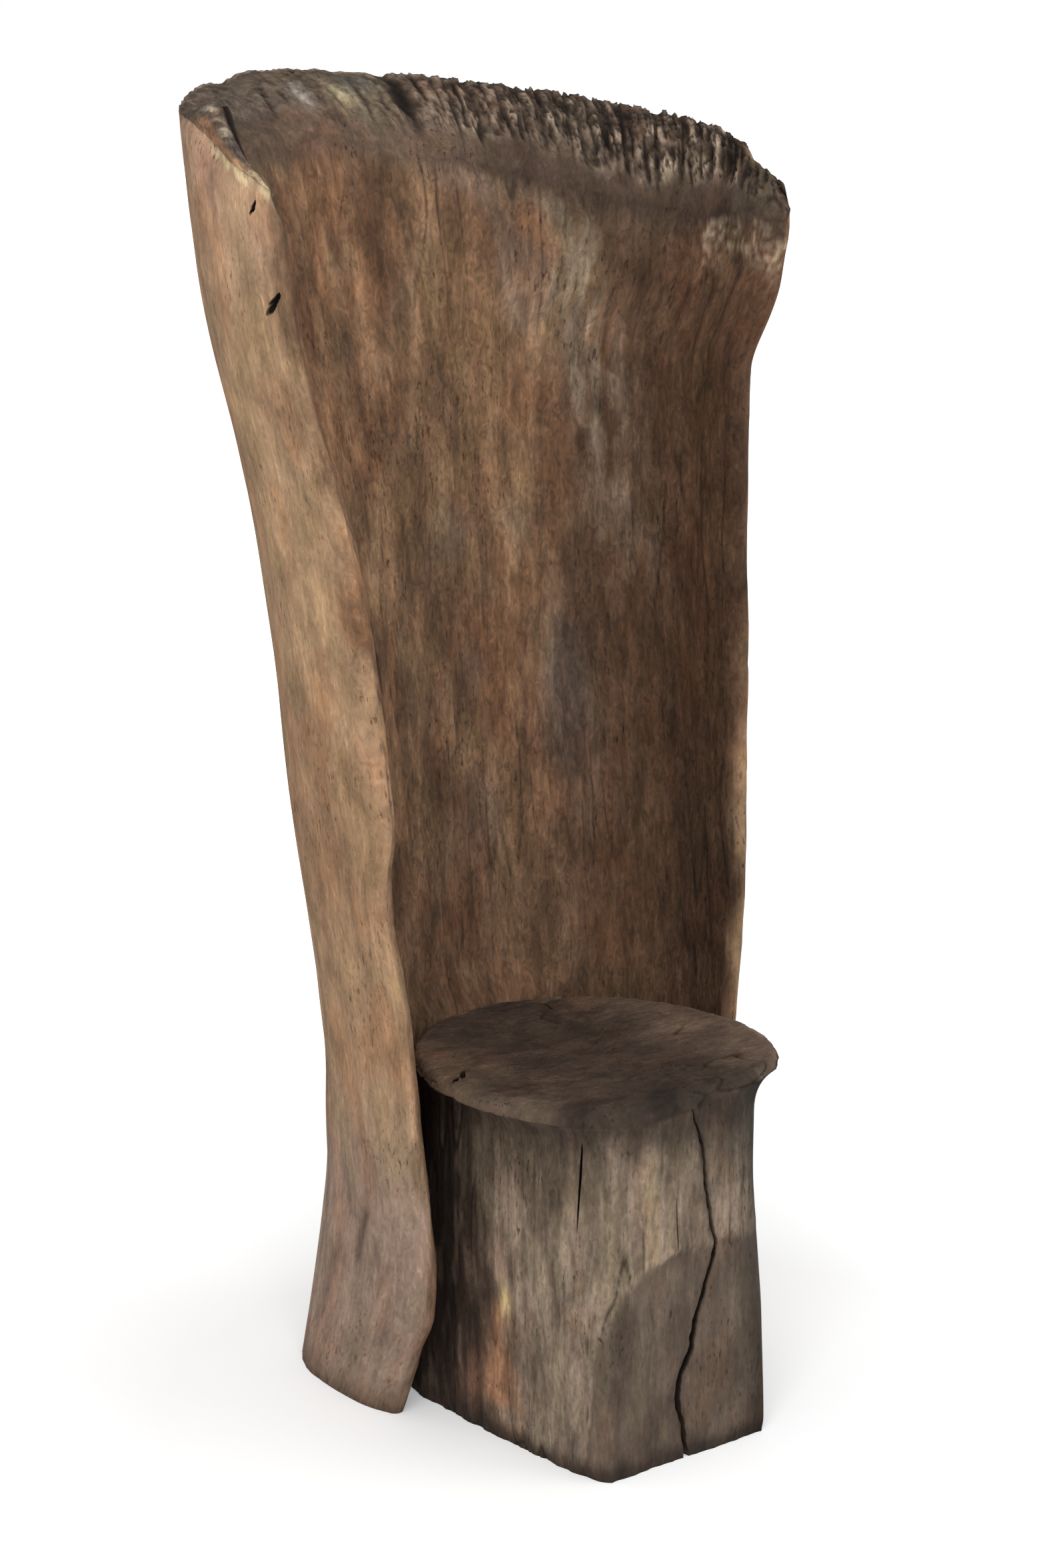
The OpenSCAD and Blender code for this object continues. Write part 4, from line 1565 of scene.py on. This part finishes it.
    def closed(self, g: StumpGrid, points: Array, height: Array) -> Array:
        """Raises the points along their normals, joins the seams and flattens the foot.

        Args:
            g: The grid.
            points: The points to raise.
            height: Millimetres along the normal.

        Returns:
            The finished points, kept in the solids' box and off the shell.
        """
        first = len(g.under)
        normals = grid_normals(points, False)
        normals[first] = normals[first + 1]
        shaped = points + normals * height[..., None]
        shaped[..., 2] = np.where(g.zone == Zone.FOOT, 0.0, np.maximum(shaped[..., 2], LIFT))
        shaped = boxed(shaped)
        shaped[..., 1] = np.minimum(shaped[..., 1], self.joint.reach - self.joint.gap)
        shaped[first, :, 2] = 0.0
        shaped[:, -1] = shaped[:, 0]
        shaped[:first] = shaped[first][None] * g.under[..., None]
        shaped[-1] = shaped[-1].mean(axis=0)
        return shaped

    def skin(self) -> Skin:
        """Works the plain form into old wood.

        Returns:
            The finished surface, from the middle of the foot to the middle of the seat.
        """
        g = self.grid()
        wood = self.wood(g)
        hewn, y = g.points.copy(), g.points[..., 1]
        hewn[..., 1] = mix(y, np.maximum(y, -self.hewn_reach), wood.facet)
        height, cavity, grime_and_shade = self.relief(g, wood, hewn)
        # grime and painted shade in the grooves: darker where the fine relief lies low
        tone = self.tones(hewn, wood) * (0.8 + 0.3 * ramp(-2.2, 0.4, grime_and_shade))[..., None]
        streaks = (1 - 0.4 * wood.facet) * (1 - 0.7 * wood.seat)
        finish = np.stack([cavity, 0.35 * wood.seat, streaks], axis=-1)
        return Skin(self.closed(g, hewn, height), wood.place, tone, finish)

    def tones(self, points: Array, wood: StumpWood) -> Array:
        """The stump's colours before their grain, laid on zone by zone.

        Args:
            points: Places on the stump.
            wood: What the wood is at each one.

        Returns:
            The tones.
        """
        x, y, z = points[..., 0], points[..., 1], points[..., 2]
        side, seat, facet = wood.side, wood.seat, wood.facet
        border = STUMP_NOISE[8].at(wood.place + 200, (30, 30, 60))
        cloud = STUMP_NOISE[12].at(wood.place, (40, 40, 80))
        fleck = STUMP_NOISE[13].at(wood.place, (14, 14, 60))
        left = ramp(-112, -130, x) * side
        shift = 24 * border + 9 * fleck
        width = mix(30.0, 12.0, ramp(44, 155, z))
        orange = left * bell(y - 6 + 0.3 * shift, 0, width) * ramp(32, 50, z) * ramp(180, 145, z)
        from_crack = x - along(self.crack_line, z / self.seat_height)
        yellowish = side * ramp(0.0, 0.4, cloud) * bell(z, 300, 50) * bell(x, -62, 40)
        pale_spot = left * bell(y + 8, 0, 8.0) * bell(z, 168, 19) * ramp(-0.4, 0.0, fleck)
        tone = lay_colours((126, 110, 95), {
            "yellowish patches": ((140, 125, 98), yellowish),
            "dark patches": ((106, 90, 77), side * ramp(0.0, 0.4, -cloud) * 0.6),
            "light flecks": ((140, 124, 108), side * ramp(0.0, 0.5, fleck) * 0.5),
            "hewn flat": ((92, 79, 68), facet),
            "hewn flat's patches": ((78, 65, 56), facet * ramp(0.0, 0.4, -cloud) * 0.7),
            "left top": ((78, 65, 54), left * ramp(270, 335, z + 50 * cloud) * 0.85),
            # painted shade on the left side towards the wing, where the gap between them is dark
            "left rear": ((66, 52, 43), left * ramp(-8, 34, y + shift) * ramp(340, 280, z + 60 * cloud)),
            "left rear's shade": ((46, 36, 30), left * ramp(45, 80, y + shift)),
            "left flecks": ((96, 80, 68), left * ramp(0.1, 0.45, fleck) * 0.6),
            "pink spot": ((150, 122, 106), left * bell(y + 0.3 * shift, 0, 12) * bell(z, 207, 28) * 0.75),
            "orange strip": ((146, 112, 87), orange * 0.95),
            "red spot": ((112, 76, 62), left * bell(y - 52, 0, 22) * bell(z, 52, 30) * 0.45),
            "pale spot": ((204, 178, 128), pale_spot),
            "below the seat": ((66, 53, 44), side * ramp(346, 398, z + 22 * border) * 0.85),
            # painted shade along the long crack
            "crack": ((46, 36, 29), side * (y < -100) * bell(from_crack, 0, 4.5) * 0.7),
            "seat": ((66, 53, 44), seat),
            "seat's left": ((84, 66, 52), seat * ramp(-90, -150, x + 30 * border) * ramp(-60, 60, y) * 0.8),
            "seat's patches": ((50, 39, 33), seat * ramp(0.0, 0.4, cloud) * 0.6),
            # darker towards the floor
            "darker at the foot": ((48, 38, 31), side * ramp(30, 6, z + 10 * border) * 0.85),
        })
        return lay_shades(tone, {
            "side": (0.90, side),
            "right": (0.43, side * ramp(50, 110, x)),
            "right top": (0.70, side * ramp(-30, 20, x) * ramp(280, 320, z)),
            "far right top": (0.55, side * ramp(60, 110, x) * ramp(230, 330, z)),
            "top": (0.78, side * (1 - left) * ramp(300, 360, z)),
            "left": (1.10, left),
            "seat's left": (1.35, seat * ramp(-50, -150, x)),
            "seat's right": (2.15, seat * ramp(50, 140, x + 20 * border)),
            "seat's front": (0.66, seat * ramp(-90, -150, y) * ramp(60, -20, x)),
            "front edge": (0.62, wood.lip * ramp(-60, -130, y)),
        })

    def crack_cutter(self) -> Shape:
        """Makes the long drying crack, a ragged wedge that follows its middle line down the front.

        Returns:
            The shape that is cut out.
        """
        share = np.linspace(self.crack_line[0][0], self.crack_line[-1][0], self.crack_rows)
        z = share * self.seat_height
        middle = along(self.crack_line, share)
        middle += 2.6 * EDGE_NOISE.line(z + 300, 21.0) + 1.2 * EDGE_NOISE.line(z + 700, 7.5)
        gape = along(self.crack_gape, share) / 2 * (1 + 0.45 * EDGE_NOISE.line(z + 900, 12.0))
        front, face = -self.seat_radius - 20.0, 5.0 - self.hewn_reach
        bottom = self.crack_depth - self.hewn_reach
        right = ((1.0, front), (0.9, face), (0.15, bottom))
        wall = (*right, *((-aside, y) for aside, y in reversed(right)), right[0])
        columns = [np.stack([middle + aside * gape, 0 * z + y, z], axis=-1) for aside, y in wall]
        return lay_grid(np.stack(columns, axis=1))[0]

    def build(self) -> Piece:
        """Makes the stump's mesh, with its peg bores, its long crack and its small hollows.

        Returns:
            The piece.
        """
        piece = self.skin().mesh("seat_block")
        cutter = self.crack_cutter()
        self.joint.bores(cutter, self.bore_end)
        for hollow in self.hollows:
            hollow.cut_into(cutter)
        carve(piece, cutter)
        return piece


class Ray(Enum):
    """Kinds of ray, by the name of the light path's output."""

    CAMERA = "Is Camera Ray"
    GLOSSY = "Is Glossy Ray"
    TRANSMISSION = "Is Transmission Ray"


class Nodes:
    """A node tree, built one node at a time."""

    def __init__(self, tree: bpy.types.NodeTree) -> None:
        """Starts on a tree."""
        self.nodes = tree.nodes
        self.links = tree.links

    def feed(self, node: bpy.types.Node, inputs: Inputs) -> None:
        """Links sockets to outputs, or sets their values.

        Args:
            node: The node whose sockets are fed.
            inputs: What each socket gets, by its name or number.
        """
        for socket, value in inputs.items():
            if isinstance(value, Socket):
                self.links.new(value, node.inputs[socket])
            else:
                node.inputs[socket].default_value = value

    def node(self, kind: str, inputs: Inputs, **settings: object) -> bpy.types.Node:
        """Adds a node, sets its properties and feeds its sockets.

        Args:
            kind: The node's type.
            inputs: What its sockets get.
            settings: Its properties.

        Returns:
            The node.
        """
        made = self.nodes.new(kind)
        for key, value in settings.items():
            setattr(made, key, value)
        self.feed(made, inputs)
        return made

    def attribute(self, name: str) -> Socket:
        """Reads a value stored on the mesh."""
        made = self.node("ShaderNodeAttribute", {}, attribute_type="GEOMETRY", attribute_name=name)
        return made.outputs["Vector"]

    def noise(self, vector: Socket, size: Place, detail: float = 3.0, twist: float = 0.0) -> Socket:
        """Noise with waves of a given length.

        Args:
            vector: Where it is read.
            size: The waves' length in metres along each axis.
            detail: How many finer waves ride on them.
            twist: How far they are bent.

        Returns:
            Values of about 0 to 1.
        """
        scale = tuple(1.0 / length for length in size)
        mapping = self.node("ShaderNodeMapping", {"Vector": vector, "Scale": scale})
        inputs = {"Vector": mapping.outputs[0], "Scale": 1.0, "Detail": detail, "Roughness": 0.6}
        return self.node("ShaderNodeTexNoise", {**inputs, "Distortion": twist}).outputs["Fac"]

    def spread(self, value: Socket, low: float, high: float, start: float = 0.0, end: float = 1.0) -> Socket:
        """Maps a range of values to another, clamped.

        Args:
            value: The value.
            low: What becomes the start.
            high: What becomes the end.
            start: The new range's start.
            end: The new range's end.

        Returns:
            The mapped value.
        """
        inputs = {"Value": value, "From Min": low, "From Max": high, "To Min": start, "To Max": end}
        return self.node("ShaderNodeMapRange", inputs, clamp=True).outputs[0]

    def maths(self, operation: str, *values: Socket | float) -> Socket:
        """Combines two or three numbers."""
        return self.node("ShaderNodeMath", dict(enumerate(values)), operation=operation).outputs[0]

    def swing(self, value: Socket, amount: Socket | float) -> Socket:
        """A factor about 1 that follows a noise by an amount."""
        return self.maths("MULTIPLY_ADD", self.maths("SUBTRACT", value, 0.5), amount, 1.0)

    def colour(self, blend: str, share: Socket, a: Socket | Rgba, b: Socket | Rgba) -> Socket:
        """Mixes two colours.

        Args:
            blend: How the second one acts on the first.
            share: How far it does.
            a: The first colour.
            b: The second one.

        Returns:
            The mixed colour.
        """
        made = self.node("ShaderNodeMix", {}, data_type="RGBA", blend_type=blend)
        self.feed(made, {0: share, 6: a, 7: b})
        return made.outputs[2]

    def scaled(self, colour: Socket, factor: Socket) -> Socket:
        """Makes a colour lighter or darker by a factor."""
        inputs = {0: colour, "Scale": factor}
        return self.node("ShaderNodeVectorMath", inputs, operation="SCALE").outputs[0]

    def seen(self, *kinds: Ray) -> Socket:
        """Tells rays of the given kinds from all others.

        Args:
            kinds: The kinds.

        Returns:
            1 for a ray of any of them, 0 for others.
        """
        path = self.node("ShaderNodeLightPath", {}).outputs
        found = path[kinds[0].value]
        for kind in kinds[1:]:
            found = self.maths("MAXIMUM", found, path[kind.value])
        return found


class Shader(Nodes):
    """A material's node tree."""

    def __init__(self, name: str) -> None:
        """Starts a material with a plain surface.

        Args:
            name: The material's name.
        """
        self.material = bpy.data.materials.new(name)
        self.material.use_nodes = True
        super().__init__(self.material.node_tree)
        self.surface = self.nodes["Principled BSDF"]

    def finish(self, inputs: Inputs) -> bpy.types.Material:
        """Feeds the surface.

        Args:
            inputs: What its sockets get.

        Returns:
            The material.
        """
        self.feed(self.surface, inputs)
        return self.material


@dataclass(frozen=True)
class OldWood:
    """Weathered wood with soft streaks, fine fibres and flecks, and painted shade in its cracks.

    Sizes are in metres, and the plain numbers after them say how strongly each one shows.
    """

    name: str
    roughness: float = 0.88
    streak_size: Place = (0.012, 0.012, 0.075)
    fibre_size: Place = (0.0035, 0.0035, 0.024)
    mottle_size: Place = (0.006, 0.006, 0.011)
    cloud_size: Place = (0.036, 0.036, 0.08)
    chip_size: Place = (0.011, 0.011, 0.011)
    dash_size: Place = (0.0035, 0.0035, 0.013)
    light_size: Place = (0.0045, 0.0045, 0.024)
    cluster_size: Place = (0.07, 0.07, 0.13)
    grit_size: Place = (0.004, 0.004, 0.004)
    bump_height: float = 0.003
    streak: float = 1.7
    fibre: float = 0.7
    mottle: float = 1.3
    twist: float = 0.5
    cloud: float = 1.7
    chip: float = 2.3
    warm: Colour = (255, 244, 236)
    cool: Colour = (248, 250, 242)
    fleck: Colour = (126, 106, 92)
    # dark colour painted into cracks and holes as shade
    crack: Colour = (24, 17, 13)

    def base(self, s: Shader, place: Socket, end: Socket, grain: Socket) -> Socket:
        """Works the grain into the stored colour.

        Args:
            s: The material's nodes.
            place: Places in the log.
            end: Share of end grain.
            grain: How strong the streaks are.

        Returns:
            The colour.
        """
        broad = tuple(1.6 * size for size in self.cloud_size)
        hue, cluster = s.noise(place, broad), s.noise(place, self.cluster_size, 2.0)
        dash, light = s.noise(place, self.dash_size), s.noise(place, self.light_size)
        base = s.attribute("wood_tone")
        base = s.colour("MULTIPLY", s.spread(hue, 0.5, 0.62), base, rgba(self.warm))
        base = s.colour("MULTIPLY", s.spread(hue, 0.5, 0.38), base, rgba(self.cool))
        for size, amount, twist in (
            (self.streak_size, s.maths("MULTIPLY", grain, self.streak), 0.6),
            (self.fibre_size, s.maths("MULTIPLY", grain, self.fibre), 0.4),
            (self.mottle_size, s.maths("MULTIPLY", grain, self.mottle), self.twist),
            (self.cloud_size, self.cloud, 0.3),
            (self.chip_size, s.maths("MULTIPLY", end, self.chip), 0.3),
        ):
            base = s.scaled(base, s.swing(s.noise(place, size, 4.0, twist), amount))
        dark = s.maths("MULTIPLY", s.spread(dash, 0.42, 0.32, 0.0, 0.8), s.spread(cluster, 0.44, 0.6))
        base = s.colour("MULTIPLY", dark, base, rgba(self.fleck))
        bright = s.maths("MULTIPLY", s.spread(light, 0.58, 0.7, 0.0, 0.35), s.spread(cluster, 0.58, 0.44))
        return s.scaled(base, s.maths("ADD", bright, 1.0))

    def unevenness(self, s: Shader, place: Socket, end: Socket) -> Socket:
        """Adds up the fine relief.

        Args:
            s: The material's nodes.
            place: Places in the log.
            end: Share of end grain.

        Returns:
            The relief's normal.
        """
        rough = s.maths("MULTIPLY", s.noise(place, self.streak_size, 4.0, 0.6), 0.8)
        for size, plain, at_end in (
            (self.fibre_size, 0.5, 0.0),
            (self.dash_size, 0.4, 0.0),
            (self.chip_size, 0.2, 1.4),
            (self.grit_size, 0.25, 1.0),
        ):
            share = s.maths("MULTIPLY_ADD", end, at_end, plain)
            rough = s.maths("MULTIPLY_ADD", s.noise(place, size, 4.0), share, rough)
        inputs = {"Strength": 0.6, "Distance": self.bump_height, "Height": rough}
        return s.node("ShaderNodeBump", inputs).outputs[0]

    def build(self) -> bpy.types.Material:
        """Makes the material.

        Returns:
            The material.
        """
        s = Shader(self.name)
        place = s.attribute("log_place")
        cavity, end, grain = s.node("ShaderNodeSeparateXYZ", {0: s.attribute("finish")}).outputs
        base = self.base(s, place, end, grain)
        grit = s.noise(place, self.grit_size, 4.0)
        return s.finish({
            # painted shade: the crack share mixes the dark crack colour into the base
            "Base Color": s.colour("MIX", cavity, base, rgba(self.crack)),
            "Roughness": s.spread(grit, 0.3, 0.7, self.roughness - 0.08, self.roughness + 0.08),
            "Specular IOR Level": 0.2,
            "Normal": self.unevenness(s, place, end),
        })


@dataclass(frozen=True)
class PegWood:
    """Cleft pegs: dark and pale fibres along the wood, with fine flecks; sizes in metres."""

    name: str
    pale: Colour = (168, 134, 96)
    dark: Colour = (112, 84, 60)
    fibre_size: Place = (0.004, 0.05, 0.004)
    fleck_size: Place = (0.0025, 0.0025, 0.009)

    def build(self) -> bpy.types.Material:
        """Makes the material.

        Returns:
            The material.
        """
        s = Shader(self.name)
        place = s.node("ShaderNodeTexCoord", {}).outputs["Object"]
        fibre, fleck = s.noise(place, self.fibre_size, 4.0), s.noise(place, self.fleck_size)
        base = s.colour("MIX", s.spread(fibre, 0.35, 0.65), rgba(self.dark), rgba(self.pale))
        colour = s.scaled(base, s.swing(fleck, 1.2))
        return s.finish({"Base Color": colour, "Roughness": 0.85, "Specular IOR Level": 0.2})


@dataclass(frozen=True)
class Studio:
    """A pale floor, soft lights and the photograph's viewpoint, in metres.

    Each lamp has its name, place, size and power, and the glow is the floor's at its near and far
    distances from the chair.
    """

    camera_place: Place = (-2.611, -3.086, 1.75)
    camera_axis: Place = (0.6104, 0.7537, -0.2436)
    focal_pixels: float = 5715.0
    image_height: float = 2352.0
    sensor: float = 36.0
    lamp_aim: Place = (0.0, 0.1, 0.7)
    lamps: tuple[tuple[str, Place, float, float], ...] = (
        ("key", (-2.4, -2.6, 3.0), 2.4, 108.0),
        ("fill", (2.6, -3.2, 2.2), 2.6, 50.0),
    )
    room_light: float = 0.6
    floor_size: float = 14.0
    floor_glow: Pair = (0.25, 1.0)
    glow_distance: Pair = (0.5, 2.2)

    def put(self, thing: Piece, place: Place, aim: Vector) -> None:
        """Stands a camera or a light at a place, facing along a direction.

        Args:
            thing: The camera or light.
            place: Where it stands.
            aim: The direction.
        """
        thing.location = place
        thing.rotation_mode = "QUATERNION"
        thing.rotation_quaternion = aim.to_track_quat("-Z", "Y")
        bpy.context.scene.collection.objects.link(thing)

    def camera(self) -> None:
        """Sets the camera at the photograph's viewing angle."""
        data = bpy.data.cameras.new("view")
        data.sensor_width = self.sensor
        data.lens = self.sensor * self.focal_pixels / self.image_height
        data.clip_end = 60.0
        camera = bpy.data.objects.new("view", data)
        self.put(camera, self.camera_place, Vector(self.camera_axis))
        bpy.context.scene.camera = camera

    def lamp(self, name: str, place: Place, size: float, power: float) -> None:
        """Adds a square soft light that faces the chair.

        Args:
            name: Its name.
            place: Where it stands.
            size: Length of its sides.
            power: Its power in watts.
        """
        data = bpy.data.lights.new(name, "AREA")
        data.shape, data.size, data.energy = "SQUARE", size, power
        self.put(bpy.data.objects.new(name, data), place, Vector(self.lamp_aim) - Vector(place))

    def world(self) -> None:
        """Lights the room evenly and shows it white."""
        world = bpy.data.worlds.new("studio")
        bpy.context.scene.world = world
        world.use_nodes = True
        s = Nodes(world.node_tree)
        s.nodes.clear()
        lights = {}
        for socket, strength in ((1, self.room_light), (2, 1.0)):
            inputs = {"Color": (1, 1, 1, 1), "Strength": strength}
            lights[socket] = s.node("ShaderNodeBackground", inputs).outputs[0]
        blend = s.node("ShaderNodeMixShader", {0: s.seen(Ray.CAMERA, Ray.TRANSMISSION), **lights})
        s.node("ShaderNodeOutputWorld", {0: blend.outputs[0]})

    def floor(self) -> None:
        """Lays a pale floor that keeps the chair's shadow."""
        bm = bmesh.new()
        bmesh.ops.create_grid(bm, x_segments=1, y_segments=1, size=self.floor_size)
        floor = finished("floor", bm)
        s = Shader("pale_floor")
        place = s.node("ShaderNodeTexCoord", {}).outputs["Object"]
        away = s.node("ShaderNodeVectorMath", {0: place}, operation="LENGTH").outputs["Value"]
        glow = s.spread(away, *self.glow_distance, *self.floor_glow)
        seen = s.seen(Ray.CAMERA, Ray.GLOSSY, Ray.TRANSMISSION)
        floor.data.materials.append(s.finish({
            "Base Color": (0.86, 0.86, 0.86, 1),
            "Roughness": 0.9,
            "Specular IOR Level": 0.0,
            "Emission Color": (1, 1, 1, 1),
            "Emission Strength": s.maths("MULTIPLY", seen, glow),
        }))

    def build(self) -> None:
        """Sets up the whole studio."""
        bpy.context.scene.view_settings.view_transform = "Standard"
        self.camera()
        self.world()
        self.floor()
        for lamp in self.lamps:
            self.lamp(*lamp)


def dress(piece: Piece, material: bpy.types.Material, nodes: Iterable[str]) -> None:
    """Gives a piece its finish, ties it to the body and hides the solids that it stands for.

    Args:
        piece: The piece.
        material: Its finish.
        nodes: The CAD nodes that it replaces.
    """
    piece.data.materials.clear()
    piece.data.materials.append(material)
    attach(piece, "root")
    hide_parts(*nodes)
    LOG.info("%s: %d faces", piece.name, len(piece.data.polygons))


def main() -> None:
    """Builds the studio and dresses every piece."""
    logging.basicConfig(level=logging.INFO)
    Studio().build()
    joint = Joint()
    shell, stump = TrunkShell(joint), SeatStump(joint)
    crooked = OldWood("shell_old_wood", mottle_size=(0.009, 0.009, 0.02), mottle=1.9, twist=1.8, streak=1.4)
    dress(shell.build(), crooked.build(), ["trunk_shell"])
    dress(stump.build(), OldWood("stump_old_wood").build(), ["seat_stump"])
    peg_wood = PegWood("peg_end_grain").build()
    for name, at in joint.places().items():
        peg = joint.peg(f"wooden_peg_{name}", at, shell.back_at(at))
        dress(peg, peg_wood, [f"peg_{name}"])


if __name__ == "__main__":
    main()
